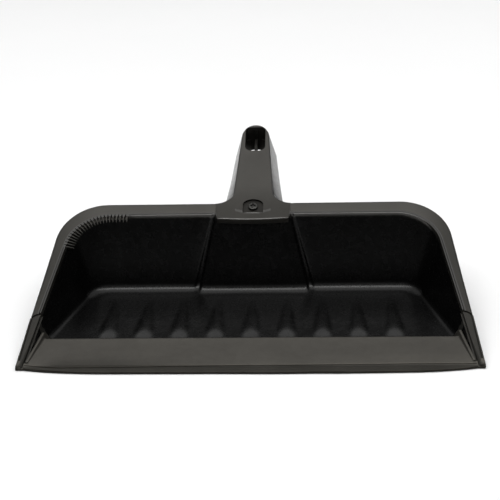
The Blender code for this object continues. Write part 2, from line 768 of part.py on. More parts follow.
def saddle():
    """The plate that lies in the rim's seat and runs up into the grip."""
    front_w = SADDLE_FRONT_Y / math.cos(RIM_SLOPE) + GAP
    back_w = RIM_BACK_Y / math.cos(RIM_SLOPE)
    loops = []
    for w in (front_w, back_w):
        half = saddle_half(w)
        corners = ((-half, -SADDLE_THICKNESS), (half, -SADDLE_THICKNESS), (half, 0.0), (-half, 0.0))
        loops.append([on_rim(x, w, lift) for x, lift in corners])
    half = SADDLE_END_HALF
    corners = ((-half, SADDLE_THICKNESS), (half, SADDLE_THICKNESS), (half, OVERLAP), (-half, OVERLAP))
    loops.append([on_handle(x, SADDLE_END_S, drop) for x, drop in corners])
    return loft("saddle", loops)


def spot_face():
    """The sunk face round the screw: a flat front and sides, and an arched back."""
    arch_w = SPOT_FRONT_W + SPOT_STRAIGHT
    arch = [(SPOT_HALF, SPOT_FRONT_W)]
    for k in range(SPOT_ARCH_STEPS + 1):
        turn = math.pi * k / SPOT_ARCH_STEPS
        arch.append((SPOT_HALF * math.cos(turn), arch_w + SPOT_ARCH_LONG * math.sin(turn)))
    arch.append((-SPOT_HALF, SPOT_FRONT_W))
    return loft("spot_face", [[on_rim(x, w, lift) for x, w in arch] for lift in (-SPOT_DEPTH, CUT_MARGIN)])


def hang_slot():
    """The slot near the tip: softly rounded towards the pan, nearly square at the tip."""
    corners = [(SLOT_HALF_WIDTH, SLOT_FRONT_S), (SLOT_HALF_WIDTH, SLOT_BACK_S)]
    corners += [(-x, s) for x, s in reversed(corners)]
    start = Vector((0.0, SLOT_FRONT_S, 0.0))
    ring = [start, *(Vector((x, s, 0.0)) for x, s in corners), start]
    radii = [SLOT_FRONT_R, SLOT_BACK_R, SLOT_BACK_R, SLOT_FRONT_R]
    outline = rounded(ring, radii, [4, 3, 3, 4])[:-1]
    drops = (1.25 * HANDLE_WALL, -CUT_MARGIN)
    return loft("hang_slot", [[on_handle(point.x, point.y, drop) for point in outline] for drop in drops])


def make_handle():
    loops = []
    for share, wider, longer in HANDLE_SIDES:
        outline = handle_outline(wider, longer, GAP)
        loops.append([on_handle(x, s, share * handle_depth(s)) for x, s in outline])
    handle = loft("handle", loops)
    boolean(handle, handle_channel(), "DIFFERENCE")
    boolean(handle, handle_rib(), "UNION")
    boolean(handle, saddle(), "UNION")
    boolean(handle, spot_face(), "DIFFERENCE")
    hole = rim_cylinder("screw_hole", SCREW_SHANK_R + GAP, CUT_MARGIN, -2 * CUT_MARGIN, HOLE_SIDES)
    boolean(handle, hole, "DIFFERENCE")
    boolean(handle, hang_slot(), "DIFFERENCE")
    handle.data.materials.append(plastic("handle_plastic", (0.075, 0.073, 0.064), 0.4))
    shade(handle)
    return handle


# ---------------------------------------------------------------- screw

def screw_recess(name, half_x, half_w, top):
    """One bar of the cross recess."""
    corners = ((-half_x, -half_w), (half_x, -half_w), (half_x, half_w), (-half_x, half_w))
    lifts = (top - SCREW_CROSS_DEPTH, top + SCREW_HEAD_HEIGHT)
    return loft(name, [[on_rim(x, SCREW_W + w, lift) for x, w in corners] for lift in lifts])


def make_screw():
    """A pan-head screw with a cross recess, lying square to the rim's plane in the spot face."""
    seat = -SPOT_DEPTH + GAP
    tip = seat - SCREW_SHANK_LENGTH
    top = seat + SCREW_HEAD_HEIGHT
    rings = [
        (SCREW_SHANK_R * 0.45, tip),
        (SCREW_SHANK_R, tip + SCREW_POINT_LENGTH),
        (SCREW_SHANK_R, seat),
        (SCREW_HEAD_R, seat),
        (SCREW_HEAD_R, seat + SCREW_HEAD_HEIGHT * 0.4),
        (SCREW_HEAD_R * 0.88, seat + SCREW_HEAD_HEIGHT * 0.8),
        (SCREW_HEAD_R * 0.6, top),
    ]
    loops = [rim_circle(radius, lift) for radius, lift in rings]
    screw = loft("handle_screw", loops, plastic("dark_steel", (0.06, 0.06, 0.058), 0.35, 1.0))
    long_half = SCREW_CROSS_HALF
    short_half = SCREW_CROSS_WIDTH / 2
    boolean(screw, screw_recess("cross_a", long_half, short_half, top), "DIFFERENCE")
    boolean(screw, screw_recess("cross_b", short_half, long_half, top), "DIFFERENCE")
    shade(screw)
    return screw


clear_scene()
make_pan_body()
make_front_lip()
make_handle()
make_screw()
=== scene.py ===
"""Looks of the hand dust pan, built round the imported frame.

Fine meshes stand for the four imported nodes. Materials, a soft studio light and the camera follow.
"""

import math

import bmesh
import bpy
from mathutils import Matrix, Vector, geometry


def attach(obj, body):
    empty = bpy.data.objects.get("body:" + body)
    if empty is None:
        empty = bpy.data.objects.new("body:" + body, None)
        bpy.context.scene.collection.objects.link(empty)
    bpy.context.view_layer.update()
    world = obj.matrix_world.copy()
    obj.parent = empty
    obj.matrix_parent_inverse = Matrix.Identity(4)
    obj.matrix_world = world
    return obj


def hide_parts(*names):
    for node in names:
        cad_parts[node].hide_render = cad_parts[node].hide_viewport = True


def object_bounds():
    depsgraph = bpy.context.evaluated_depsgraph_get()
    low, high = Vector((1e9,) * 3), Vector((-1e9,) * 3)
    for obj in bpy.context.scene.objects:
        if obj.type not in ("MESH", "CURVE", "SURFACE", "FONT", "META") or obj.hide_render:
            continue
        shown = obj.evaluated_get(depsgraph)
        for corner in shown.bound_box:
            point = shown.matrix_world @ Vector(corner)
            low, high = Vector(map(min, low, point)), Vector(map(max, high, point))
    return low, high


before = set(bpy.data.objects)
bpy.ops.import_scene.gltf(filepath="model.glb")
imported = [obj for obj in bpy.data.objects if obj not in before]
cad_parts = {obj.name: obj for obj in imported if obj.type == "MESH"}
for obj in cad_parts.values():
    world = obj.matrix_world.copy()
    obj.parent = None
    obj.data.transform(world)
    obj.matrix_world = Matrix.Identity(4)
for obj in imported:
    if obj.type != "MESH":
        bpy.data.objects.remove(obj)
cad_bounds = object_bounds()

# Shapes are built with Y = 0 on the line between the front corners, which lies at FRONT_Y in the frame.
LIP_BOW = 0.0050
LIP_BOW_POWER = 6
LOW = Vector(cad_bounds[0])
FRONT_Y = LOW.y + LIP_BOW

# GAP and FIT_GAP part neighbours, and NUDGE keeps joined solids from sharing a face.
GAP = 0.0001
FIT_GAP = 0.0003
NUDGE = 0.00003
CUT_MARGIN = 0.0060
LONGEST_TANGENT = 0.46
SHARP_DEGREES = 38
SCREW_SHARP_DEGREES = 30
SETTLE_STEPS = 20
TINY = 1e-9

# Tub
WALL = 0.0026
FLOOR_TOP = WALL
SIDE_FOOT_X = 0.1509
SIDE_FOOT_TAPER = 0.3265
SIDE_LEAN = 0.31
BACK_FOOT_Y = 0.1025
BACK_LEAN = 0.30
TUB_FRONT_Y = 0.0050
TUB_MIDDLE_Y = 0.0600
FOOT_CORNER_R = 0.018
FOOT_FILLET_R = 0.009
SIDE_FILLET_R = 0.0045
FILLET_GROWS_Y = 0.088
FILLET_GROWS_LONG = 0.010
FOOT_REACH = 0.016
RIM_SLOPE = math.radians(23.9)
RIM_RISE = math.tan(RIM_SLOPE)
RIM_UP = Vector((0.0, -math.sin(RIM_SLOPE), math.cos(RIM_SLOPE)))
RIM_FRONT_Z = 0.0030
RIM_CORNER_X = 0.1556
RIM_TAPER = 0.137
RIM_BACK_Y = 0.1303
RIM_INNER_CORNER_R = 0.031
RIM_OUTER_CORNER_R = 0.036
RIM_EDGE_R = 0.0022
RIM_EDGE_STEPS = 5
UNDER_EDGE_R = 0.0006
SKIRT_DEPTH = 0.010
PANEL_HALF_TOP = 0.0280
PANEL_HALF_FOOT = 0.0415
GROOVE_PROUD_RIM = 0.6
GROOVE_PROUD_FOOT = 1.3
GROOVE_WIDE_FOOT = 1.7

# Floor ridges
RIDGE_COUNT = 9
RIDGE_PITCH = 0.0247
RIDGE_FOOT_Y = 0.0365
RIDGE_TOP_Y = 0.0458
RIDGE_END_Y = 0.0850
RIDGE_HEIGHT = 0.0018
RIDGE_BASE_HALF = 0.0068
RIDGE_TOP_HALF = 0.0024
RIDGE_SOFT = 0.0012
RIDGE_END_SHARE = 0.25

# Comb
COMB_TEETH = 23
COMB_START_Y = 0.0935
COMB_END_X = 0.0915
TOOTH_LENGTH = 0.0062
TOOTH_SHORTENING = 0.0014
TOOTH_ROOT = 0.0022
TOOTH_HALF_WIDTH = 0.00078
TOOTH_TIP_HALF_WIDTH = 0.00014
TOOTH_HALF_DEPTH = 0.0024
TOOTH_TIP_HALF_DEPTH = 0.0003
TOOTH_PROUD = 0.0001
TOOTH_DROP = 0.0010
NOTCH_ROOT = 0.0019
NOTCH_REACH = 0.0030
NOTCH_ROOT_HALF = 0.00022
NOTCH_OPEN_HALF = 0.0007
NOTCH_LIFTS = (-0.0019, 0.0012)

# Lip
CREST_Y = 0.0290
CREST_Z = 0.0070
STEP_Y = 0.0013
STEP_SKEW = 0.0016
LEAST_BAND = 0.0026
STEP_Z = 0.0031
END_CROWDING = 0.35
TONGUE_TOP = 0.0014
TONGUE_BACK_Y = 0.0275
FILLET_START_Y = 0.0360
CHEEK_THICKNESS = 0.0022
CHEEK_FRONT_Y = 0.0040
CHEEK_FRONT_Z = 0.0043
CHEEK_END_Y = 0.0330
CHEEK_END_Z = 0.0112
CHEEK_FILLET_R = 0.0024
CHEEK_TAIL_Y = 0.0306
CHEEK_TAIL_LONG = 0.0026
SEAM_OUTER_Y = 0.0362
SEAM_INNER_Y = 0.0398
SEAM_BOW = 0.0012
ARM_FRONT_Y = 0.0010
ARM_CAP = 0.0026
ARM_LEG = 0.0024
ARM_LEG_DEPTH = 0.0085
ARM_BEVEL = 0.0014
ARM_TAIL_DROP = 0.0006
ARM_GROOVE_FROM_EDGE = 0.0017
ARM_GROOVE = ((-0.0001, -0.0011), (0.0003, -0.0011), (0.0006, -0.0003))

# Places clear of the pan, where the rooms cut for the lip start and end
ROOM_FRONT_Y = -0.02
ROOM_INNER_X = 0.125
ROOM_OUTER_X = 0.190
ROOM_LOW_Z = -0.02
ROOM_TOP_Z = 0.060

# Handle
HANDLE_SLOPE = math.radians(20.0)
HANDLE_TIP_CENTRE = 0.0707
HANDLE_TIP_HALF = 0.0099
HANDLE_TIP_LONG = 0.0114
HANDLE_ROOT_HALF = 0.0140
HANDLE_ROOT_SPREAD = 1.35
HANDLE_DEPTH = 0.0190
HANDLE_DEPTH_ROOT = 0.0120
HANDLE_FULL_DEPTH_S = 0.0450
HANDLE_WALL = 0.0024
FLARE_LENGTH = 0.0090
SADDLE_FRONT_Y = 0.1145
SADDLE_FRONT_HALF = 0.0258
SADDLE_HALF_BACK = 0.0275
SADDLE_THICKNESS = 0.0032
SADDLE_BOW = 0.0012
SEAT_FRONT_Y = 0.121
SEAT_MARGIN = 0.004
CRESCENT_W = 0.1304
CRESCENT_CURVE = 0.0034
CRESCENT_CURVE_X = 0.0140
CRESCENT_LONG = 0.0019
CRESCENT_HEIGHT = 0.00054
CRESCENT_HALF = 0.0142
CRESCENT_DARK_HALF = 0.0130
DOME_LONG = 0.0110
SLOT_HALF_WIDTH = 0.0073
SLOT_FRONT_S = 0.0537
SLOT_BACK_S = 0.0792
SLOT_FRONT_R = 0.0045
SLOT_BACK_R = 0.0022
SLOT_CHAMFER = 0.0005
CHANNEL_SIDE = HANDLE_WALL / 6
CHANNEL_DRAFT = 0.0010
CHANNEL_ROOT_S = 0.0026
CHANNEL_STRAIGHT_S = 0.010
RIB_HALF = 0.001
RIB_LOW_S = 0.026
RIB_HIGH_S = 0.020
RIB_SHORT = 0.0006

# Screw
SCREW_W = 0.1381
SCREW_HEAD_R = 0.0036
SCREW_HEAD_HEIGHT = 0.0014
SCREW_SHANK_R = 0.0017
SPOT_HALF = 0.0074
SPOT_FRONT_W = 0.1315
SPOT_STRAIGHT = 0.0076
SPOT_ARCH_LONG = 0.0052
SPOT_DEPTH = 0.0014
BOSS_R = 0.0052
BOSS_DEPTH = 0.015
PILOT_DEPTH = 0.0176
THREAD_DEPTH = 0.0088
THREAD_TURNS = 9
THREAD_PITCH = 0.0009
CROSS_LONG = 0.0022
CROSS_SHORT = 0.00065
CROSS_DEPTH = 0.0012

# Camera, aimed a little behind the middle of the pan, and the stage
CAMERA_AZIMUTH = math.radians(3.47)
CAMERA_ELEVATION = math.radians(28.0)
CAMERA_ROLL = math.radians(-2.22)
CAMERA_DISTANCE = 0.85
CAMERA_LENS_MM = 88.7
CAMERA_TARGET = Vector((0.0, FRONT_Y + 0.070, 0.0523))
FLOOR_HALF = 6.0
FLOOR_DROP = 0.0002
WORLD_STRENGTH = 0.03


# ---- mesh helpers

def clamp(share):
    return min(max(share, 0.0), 1.0)


def smooth(share):
    share = clamp(share)
    return share * share * (3 - 2 * share)


def soft_min(a, b, width):
    """The smaller of two values, with a soft change where they cross."""
    overlap = max(width - abs(a - b), 0.0) / width
    return min(a, b) - overlap * overlap * width / 4


def build(name, points, faces, materials=(), indices=None):
    """A mesh object in the frame, with its faces pointing out, from points in the shape's own frame."""
    mesh = bpy.data.meshes.new(name)
    mesh.from_pydata([(p[0], p[1] + FRONT_Y, p[2]) for p in points], [], faces)
    for material in materials:
        mesh.materials.append(material)
    if indices:
        mesh.polygons.foreach_set("material_index", indices)
    work = bmesh.new()
    work.from_mesh(mesh)
    bmesh.ops.triangulate(work, faces=work.faces)
    bmesh.ops.recalc_face_normals(work, faces=work.faces)
    work.to_mesh(mesh)
    work.free()
    obj = bpy.data.objects.new(name, mesh)
    bpy.context.scene.collection.objects.link(obj)
    return obj


def loft_parts(loops):
    """Points and faces of a closed solid through loops of the same number of points."""
    count = len(loops[0])
    points = [point for loop in loops for point in loop]
    faces = []
    for row in range(len(loops) - 1):
        for k in range(count):
            after = (k + 1) % count
            low = row * count
            high = low + count
            faces.append((low + k, low + after, high + after, high + k))
    faces.append(tuple(range(count)))
    faces.append(tuple(range((len(loops) - 1) * count, len(loops) * count)))
    return points, faces


def loft(name, loops, materials=()):
    return build(name, *loft_parts(loops), materials)


def group(name, solids):
    """One object that holds several separate closed solids."""
    points = []
    faces = []
    for solid_points, solid_faces in solids:
        faces += [tuple(len(points) + k for k in face) for face in solid_faces]
        points += solid_points
    return build(name, points, faces)


def inside_colour(tool):
    """Gives the faces that a tool leaves the piece's second material: painted shade on the handle, the arms'
    own material on the lip.
    """
    tool.data.polygons.foreach_set("material_index", [1] * len(tool.data.polygons))
    return tool


def carve(obj, steps):
    """Cuts or joins tools into a piece, leaves the result as its mesh and removes the tools."""
    for operation, tool in steps:
        modifier = obj.modifiers.new(tool.name, "BOOLEAN")
        modifier.operation = operation
        modifier.solver = "EXACT"
        modifier.object = tool
    bpy.context.view_layer.update()
    graph = bpy.context.evaluated_depsgraph_get()
    mesh = bpy.data.meshes.new_from_object(obj.evaluated_get(graph))
    obj.modifiers.clear()
    obj.data = mesh
    for _, tool in steps:
        bpy.data.objects.remove(tool, do_unlink=True)


def shade(obj, degrees=SHARP_DEGREES):
    obj.data.shade_smooth()
    obj.data.set_sharp_from_angle(angle=math.radians(degrees))


def declare(obj, node):
    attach(obj, "root")
    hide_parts(node)


def arc_at(before, corner, after, radius, count):
    """The points of an arc that rounds one corner of a line; it shrinks to fit short edges."""
    back = before - corner
    ahead = after - corner
    half = back.angle(ahead) / 2
    tangent = min(radius / math.tan(half), LONGEST_TANGENT * back.length, LONGEST_TANGENT * ahead.length)
    fitted = tangent * math.tan(half)
    middle = (back.normalized() + ahead.normalized()).normalized()
    centre = corner + middle * (fitted / math.sin(half))
    start = corner + back.normalized() * tangent - centre
    sweep = math.pi - 2 * half
    side = (corner + ahead.normalized() * tangent - centre) - start * math.cos(sweep)
    side = side.normalized() * fitted
    turns = [sweep * k / count for k in range(count + 1)]
    return [centre + start * math.cos(turn) + side * math.sin(turn) for turn in turns]


def rounded(points, radii, steps):
    """The open line through points, with an arc of so many steps at each inner point."""
    line = [points[0]]
    for before, corner, after, radius, count in zip(points, points[1:], points[2:], radii, steps):
        line += arc_at(before, corner, after, radius, count)
    return line + [points[-1]]


def rounded_ring(points, radii, count=3):
    """The closed line through points with every corner rounded."""
    ring = []
    total = len(points)
    for k in range(total):
        ring += arc_at(points[k - 1], points[k], points[(k + 1) % total], radii[k], count)
    return ring


def fill(points, faces, ring, inner, height, links=()):
    """Fills the closed outline of the ring's points, seen from above, with triangles; returns their number.

    They go through the inner places, lifted by height(x, y), and keep the links between ring points as edges.
    """
    flat = [Vector((points[k][0], points[k][1])) for k in ring] + [Vector(p) for p in inner]
    count = len(ring)
    edges = [(k, (k + 1) % count) for k in range(count)] + list(links)
    result = geometry.delaunay_2d_cdt(flat, edges, [tuple(range(count))], 1, TINY)
    own = list(ring) + [len(points) + k for k in range(len(inner))]
    points.extend(Vector((x, y, height(x, y))) for x, y in inner)
    used = []
    for vert, origin in zip(result[0], result[3]):
        if not origin:
            points.append(Vector((vert[0], vert[1], height(vert[0], vert[1]))))
        used.append(own[origin[0]] if origin else len(points) - 1)
    faces.extend(tuple(used[k] for k in face) for face in result[2])
    return len(result[2])


def inside(x, y, outline, margin):
    """Whether a place is inside an outline and at least a margin from it."""
    odd = False
    for k in range(len(outline)):
        ax, ay = outline[k - 1][0], outline[k - 1][1]
        bx, by = outline[k][0], outline[k][1]
        if (ay > y) != (by > y) and x < (bx - ax) * (y - ay) / (by - ay) + ax:
            odd = not odd
        length = (bx - ax) ** 2 + (by - ay) ** 2
        share = clamp(((x - ax) * (bx - ax) + (y - ay) * (by - ay)) / max(length, TINY * TINY))
        if (ax + share * (bx - ax) - x) ** 2 + (ay + share * (by - ay) - y) ** 2 < margin * margin:
            return False
    return odd


def grid(x0, x1, y0, y1, step, outline, margin):
    """Staggered points inside an outline."""
    found = []
    rows = int((y1 - y0) / step)
    columns = int((x1 - x0) / step)
    for row in range(rows + 1):
        for column in range(columns + 1):
            x = x0 + (column + 0.5 * (row % 2)) * step
            y = y0 + row * step
            if x <= x1 and inside(x, y, outline, margin):
                found.append((x, y))
    return found


# ---- planes of the tub

def side_x(y, z, outward=0.0):
    """X of the right wall's inner face, or of a plane that far outside it."""
    spread = math.sqrt(1 + SIDE_FOOT_TAPER**2 + SIDE_LEAN**2)
    return SIDE_FOOT_X - SIDE_FOOT_TAPER * y + SIDE_LEAN * (z - FLOOR_TOP) + outward * spread


def side_outer_x(y, z):
    return side_x(y, z, WALL)


def rim_z(y, lift=0.0):
    """Height of the rim's sloping plane, or of a plane lifted square to it."""
    return RIM_FRONT_Z + RIM_RISE * y + lift / math.cos(RIM_SLOPE)


def rim_under_z(y):
    return rim_z(y, -WALL)


def rim_edge_x(y):
    return RIM_CORNER_X - RIM_TAPER * y


def on_rim(x, w, lift=0.0):
    """The place x across and w up the rim's plane, lifted square to it."""
    y = w * math.cos(RIM_SLOPE) - lift * math.sin(RIM_SLOPE)
    z = RIM_FRONT_Z + w * math.sin(RIM_SLOPE) + lift * math.cos(RIM_SLOPE)
    return Vector((x, y, z))


def back_plane(outward=0.0):
    """A function that gives the back wall's Y at a height."""
    spread = math.sqrt(1 + BACK_LEAN**2)
    return lambda z: BACK_FOOT_Y + BACK_LEAN * (z - FLOOR_TOP) + outward * spread


# ---- pan body

# Stations round the tub, and the right groove's section as (x, y) from its centre line
SIDE_STATIONS = 22
CORNER_STATIONS = 16
BACK_STATIONS = 8
GROOVE_LINE = (
    (0.0026, 0.0), (0.0017, 0.0002), (0.0011, 0.0010), (0.0004, 0.0014),
    (-0.0004, 0.0013), (-0.0010, -0.0008), (-0.0015, -0.0018), (-0.0024, -0.0020),
)


def u_curve(side, back_y, height, corner_radius, groove_x, proud, wide=1.0):
    """A line from the right front round the back to the left front, at the same stations on every call."""
    y_corner = BACK_FOOT_Y
    for _ in range(SETTLE_STEPS):
        y_corner = back_y(height(y_corner))
    z_corner = height(y_corner)
    corner = Vector((side(y_corner, z_corner), y_corner, z_corner))
    front = Vector((side(TUB_FRONT_Y, height(TUB_FRONT_Y)), TUB_FRONT_Y, height(TUB_FRONT_Y)))
    middle = Vector((0.0, y_corner, z_corner))
    arc = rounded([front, corner, middle], [corner_radius], [CORNER_STATIONS])
    half = [front.lerp(arc[1], k / SIDE_STATIONS) for k in range(SIDE_STATIONS)]
    half += arc[1:-1]
    start = Vector((groove_x + wide * GROOVE_LINE[0][0], y_corner, z_corner))
    half += [arc[-2].lerp(start, k / BACK_STATIONS) for k in range(1, BACK_STATIONS + 1)]
    half += [Vector((groove_x + wide * dx, y_corner + proud * dy, z_corner)) for dx, dy in GROOVE_LINE[1:]]
    half += [Vector((half[-1].x * share, half[-1].y, z_corner)) for share in (0.66, 0.33, 0.0)]
    return half + [Vector((-point.x, point.y, point.z)) for point in reversed(half[:-1])]


def ridge_height(x, y):
    """Height of the floor's soft ridges: hipped fronts that run out to the back."""
    x0 = min(round(x / RIDGE_PITCH), (RIDGE_COUNT - 1) / 2)
    x0 = max(x0, -(RIDGE_COUNT - 1) / 2) * RIDGE_PITCH
    narrowing = clamp((RIDGE_END_Y - y) / (RIDGE_END_Y - RIDGE_TOP_Y))
    front = RIDGE_HEIGHT * (y - RIDGE_FOOT_Y) / (RIDGE_TOP_Y - RIDGE_FOOT_Y)
    back = RIDGE_HEIGHT * (RIDGE_END_Y - y) / (RIDGE_END_Y - RIDGE_TOP_Y)
    base = RIDGE_BASE_HALF * (RIDGE_END_SHARE + (1 - RIDGE_END_SHARE) * narrowing)
    run = base * (1 - RIDGE_TOP_HALF / RIDGE_BASE_HALF)
    side = RIDGE_HEIGHT * (base - abs(x - x0)) / run
    hip = soft_min(front, side, RIDGE_SOFT)
    height = soft_min(hip, soft_min(back, RIDGE_HEIGHT, RIDGE_SOFT), RIDGE_SOFT)
    return -soft_min(-height, 0.0, RIDGE_SOFT / 2)


# The bead along the rim's inner edge, as (run from the edge, lift off the rim's plane)
BEAD_LINE = (
    (-0.0022, 0.0), (-0.0010, 0.0), (-0.0003, 0.00022), (0.0001, 0.00048), (0.0005, 0.00062),
    (0.0009, 0.00055), (0.0013, 0.00028), (0.0017, 0.0), (0.0021, -0.00010), (0.0026, 0.0),
)


def bead_share(point):
    """The rim's inner bead fades out where the comb is."""
    if point.x > 0:
        return 1.0
    if point.y < COMB_START_Y:
        return smooth((COMB_START_Y - 0.001 - point.y) / 0.002)
    return smooth((point.x + COMB_END_X - 0.001) / 0.002)


def tub_sections():
    """The tub's cross sections from one front end to the other: the seen side and the hidden side of each."""
    reach_in = (FOOT_CORNER_R, PANEL_HALF_FOOT)
    foot = u_curve(side_x, back_plane(), lambda y: FLOOR_TOP, *reach_in, GROOVE_PROUD_FOOT, GROOVE_WIDE_FOOT)
    plain = u_curve(side_x, back_plane(), lambda y: FLOOR_TOP, *reach_in, 0, GROOVE_WIDE_FOOT)
    inner = u_curve(side_x, back_plane(), rim_z, RIM_INNER_CORNER_R, PANEL_HALF_TOP, GROOVE_PROUD_RIM)
    reach_out = (FOOT_CORNER_R + WALL, PANEL_HALF_FOOT)
    under = u_curve(side_outer_x, back_plane(WALL), lambda y: 0.0, *reach_out, 1, GROOVE_WIDE_FOOT)
    radius = RIM_INNER_CORNER_R + WALL
    inner_under = u_curve(side_outer_x, back_plane(WALL), rim_under_z, radius, PANEL_HALF_TOP, 1)

    def edge(inset, height):
        side = lambda y, z: rim_edge_x(y) - inset
        back = lambda z: RIM_BACK_Y - inset
        return u_curve(side, back, height, RIM_OUTER_CORNER_R - inset, PANEL_HALF_TOP, 0)

    outer = edge(0.0, rim_z)
    outer_under = edge(WALL, rim_under_z)
    down = Vector((0.0, 0.0, -SKIRT_DEPTH))
    down_under = Vector((0.0, 0.0, -SKIRT_DEPTH + WALL / math.cos(RIM_SLOPE)))
    count = len(foot)
    shown = []
    hidden = []
    for i in range(count):
        along = plain[min(i + 1, count - 1)] - plain[max(i - 1, 0)]
        if i in (0, count - 1):
            along = Vector((0.0, 1.0, 0.0))
        inward = Vector((-along.y, along.x, 0.0)).normalized()
        if inward.dot(Vector((0.0, TUB_MIDDLE_Y, 0.0)) - foot[i]) < 0:
            inward.negate()
        reach = inward * FOOT_REACH
        up_wall = (foot[i] - inner[i]).normalized()
        across = (outer[i] - inner[i]).normalized()
        share = bead_share(inner[i])
        bead = []
        for run, lift in BEAD_LINE:
            base = inner[i] + (up_wall * -run if run < 0 else across * run)
            bead.append(base + RIM_UP * (lift * share))
        growth = smooth((foot[i].y - FILLET_GROWS_Y) / FILLET_GROWS_LONG)
        fillet = SIDE_FILLET_R + (FOOT_FILLET_R - SIDE_FILLET_R) * growth
        line = rounded([foot[i] + reach, foot[i], bead[0]], [fillet], [9])[1:-1]
        line += [line[-1].lerp(bead[0], k / 3) for k in (1, 2)] + bead
        line += rounded([bead[-1], outer[i], outer[i] + down], [RIM_EDGE_R], [RIM_EDGE_STEPS])[1:]
        shown.append(line)
        line = [under[i] + reach, under[i], inner_under[i], outer_under[i], outer_under[i] + down_under]
        hidden.append(rounded(line, [FOOT_FILLET_R + WALL, UNDER_EDGE_R, UNDER_EDGE_R], (6, 2, 2))[1:])
    return shown, hidden


def floor_places(outline):
    """Points for the floor's mesh: close together over the ridges and wide apart elsewhere."""
    half_x = RIDGE_PITCH * RIDGE_COUNT / 2
    margin = 0.006
    fine = grid(-half_x, half_x, RIDGE_FOOT_Y - 0.002, RIDGE_END_Y + 0.002, 0.0013, outline, 0.0008)
    for x, y in grid(-0.14, 0.14, 0.010, 0.100, 0.009, outline, 0.004):
        if abs(x) >= half_x or not RIDGE_FOOT_Y - margin < y < RIDGE_END_Y + margin:
            fine.append((x, y))
    return fine


def tub(materials):
    """Walls, rim, skirt and floor, with the materials of the rim, the tub, the underside and the bead."""
    shown, hidden = tub_sections()
    count = len(shown)
    size = len(shown[0])
    whole = size + len(hidden[0])
    points = [point for i in range(count) for point in shown[i] + hidden[i][::-1]]
    faces = []
    indices = []
    bead_end = size - RIM_EDGE_STEPS - 3
    wall_end = bead_end - len(BEAD_LINE) + 1
    for i in range(count - 1):
        for k in range(whole - 1):
            here = i * whole + k
            after = here + whole
            faces.append((here, after, after + 1, here + 1))
            # Walls and floor take the tub material, whose near-black colour is painted shade.
            indices.append(1 if k < wall_end else 3 if k < bead_end else 0 if k < size else 2)
    faces.append(tuple(i * whole + whole - 1 for i in range(count)))
    indices.append(2)
    first = list(range(whole))
    last = [(count - 1) * whole + k for k in range(whole)]
    faces.append(tuple(first + last[::-1]))
    indices.append(0)

    ring = range(0, count * whole, whole)
    places = floor_places([points[k] for k in ring])
    indices += [1] * fill(points, faces, ring, places, lambda x, y: FLOOR_TOP + ridge_height(x, y))
    return build("pan", points, faces, materials, indices)


def side_prism(name, sign, rows):
    """A solid through rows of places on the right side, or mirrored to the left where sign is -1."""
    return loft(name, [[Vector((sign * x, y, z)) for x, y, z in row] for row in rows])


def seat_block():
    """The thick stretch of rim that carries the handle's saddle."""
    half = SADDLE_HALF_BACK + SEAT_MARGIN
    back = RIM_BACK_Y - WALL / 2
    places = [(-half, SEAT_FRONT_Y), (half, SEAT_FRONT_Y), (half, back), (-half, back)]
    lower = [Vector((x, y, rim_z(y) - SKIRT_DEPTH)) for x, y in places]
    upper = [Vector((x, y, rim_z(y, -WALL / 2))) for x, y in places]
    return loft("seat_block", [lower, upper])


def rim_circle(radius, lift, count=48):
    turns = [2 * math.pi * k / count for k in range(count)]
    return [on_rim(radius * math.cos(turn), SCREW_W + radius * math.sin(turn), lift) for turn in turns]


def rim_cylinder(name, radius, top, bottom):
    return loft(name, [rim_circle(radius, bottom), rim_circle(radius, top)])


def saddle_half(w):
    front_w = SADDLE_FRONT_Y / math.cos(RIM_SLOPE)
    back_w = RIM_BACK_Y / math.cos(RIM_SLOPE)
    return SADDLE_FRONT_HALF + (SADDLE_HALF_BACK - SADDLE_FRONT_HALF) * (w - front_w) / (back_w - front_w)


def saddle_seat():
    """The room that the saddle lies in."""
    front_w = SADDLE_FRONT_Y / math.cos(RIM_SLOPE) - CUT_MARGIN
    back_w = RIM_BACK_Y / math.cos(RIM_SLOPE) + CUT_MARGIN
    front_half = saddle_half(front_w) + SADDLE_EDGE_R
    back_half = saddle_half(back_w) + SADDLE_EDGE_R
    outline = [(-front_half, front_w), (front_half, front_w), (back_half, back_w), (-back_half, back_w)]
    lifts = (-SADDLE_THICKNESS - GAP, CUT_MARGIN)
    return loft("saddle_seat", [[on_rim(x, w, lift) for x, w in outline] for lift in lifts])


def front_room(name, back, floor):
    """Room between the walls for the lip, from a floor up and from the front to a back line."""
    rows = []
    for z in (floor, ROOM_TOP_Z):
        places = ((-1, ROOM_FRONT_Y), (1, ROOM_FRONT_Y), (1, back), (-1, back))
        rows.append([Vector((sign * side_x(y, z), y, z)) for sign, y in places])
    return loft(name, rows)


def seam_bow(across):
    """How far the middle of the seam between rim and lip bows back."""
    return SEAM_BOW * 4 * clamp(across) * (1 - clamp(across))


def seam_y(x):
    """The line, seen from above, where the lip's arm meets the rim: slanted, and bowed in its middle."""
    inner_x = side_x(SEAM_INNER_Y, rim_z(SEAM_INNER_Y))
    outer_x = rim_edge_x(SEAM_OUTER_Y)
    share = (x - inner_x) / (outer_x - inner_x)
    return SEAM_INNER_Y + (SEAM_OUTER_Y - SEAM_INNER_Y) * share + seam_bow(share)


def seam_at_wall(z):
    """Y where the seam crosses the wall's outer face at a height."""
    y = SEAM_OUTER_Y
    for _ in range(SETTLE_STEPS):
        y = seam_y(side_x(y, z, WALL))
    return y


def seam_xs(inner, outer):
    """X places across an arm, close together where the seam bows."""
    start = side_x(SEAM_INNER_Y, rim_z(SEAM_INNER_Y))
    end = rim_edge_x(SEAM_OUTER_Y)
    return [inner] + [start + (end - start) * k / 8 for k in range(9)] + [outer]


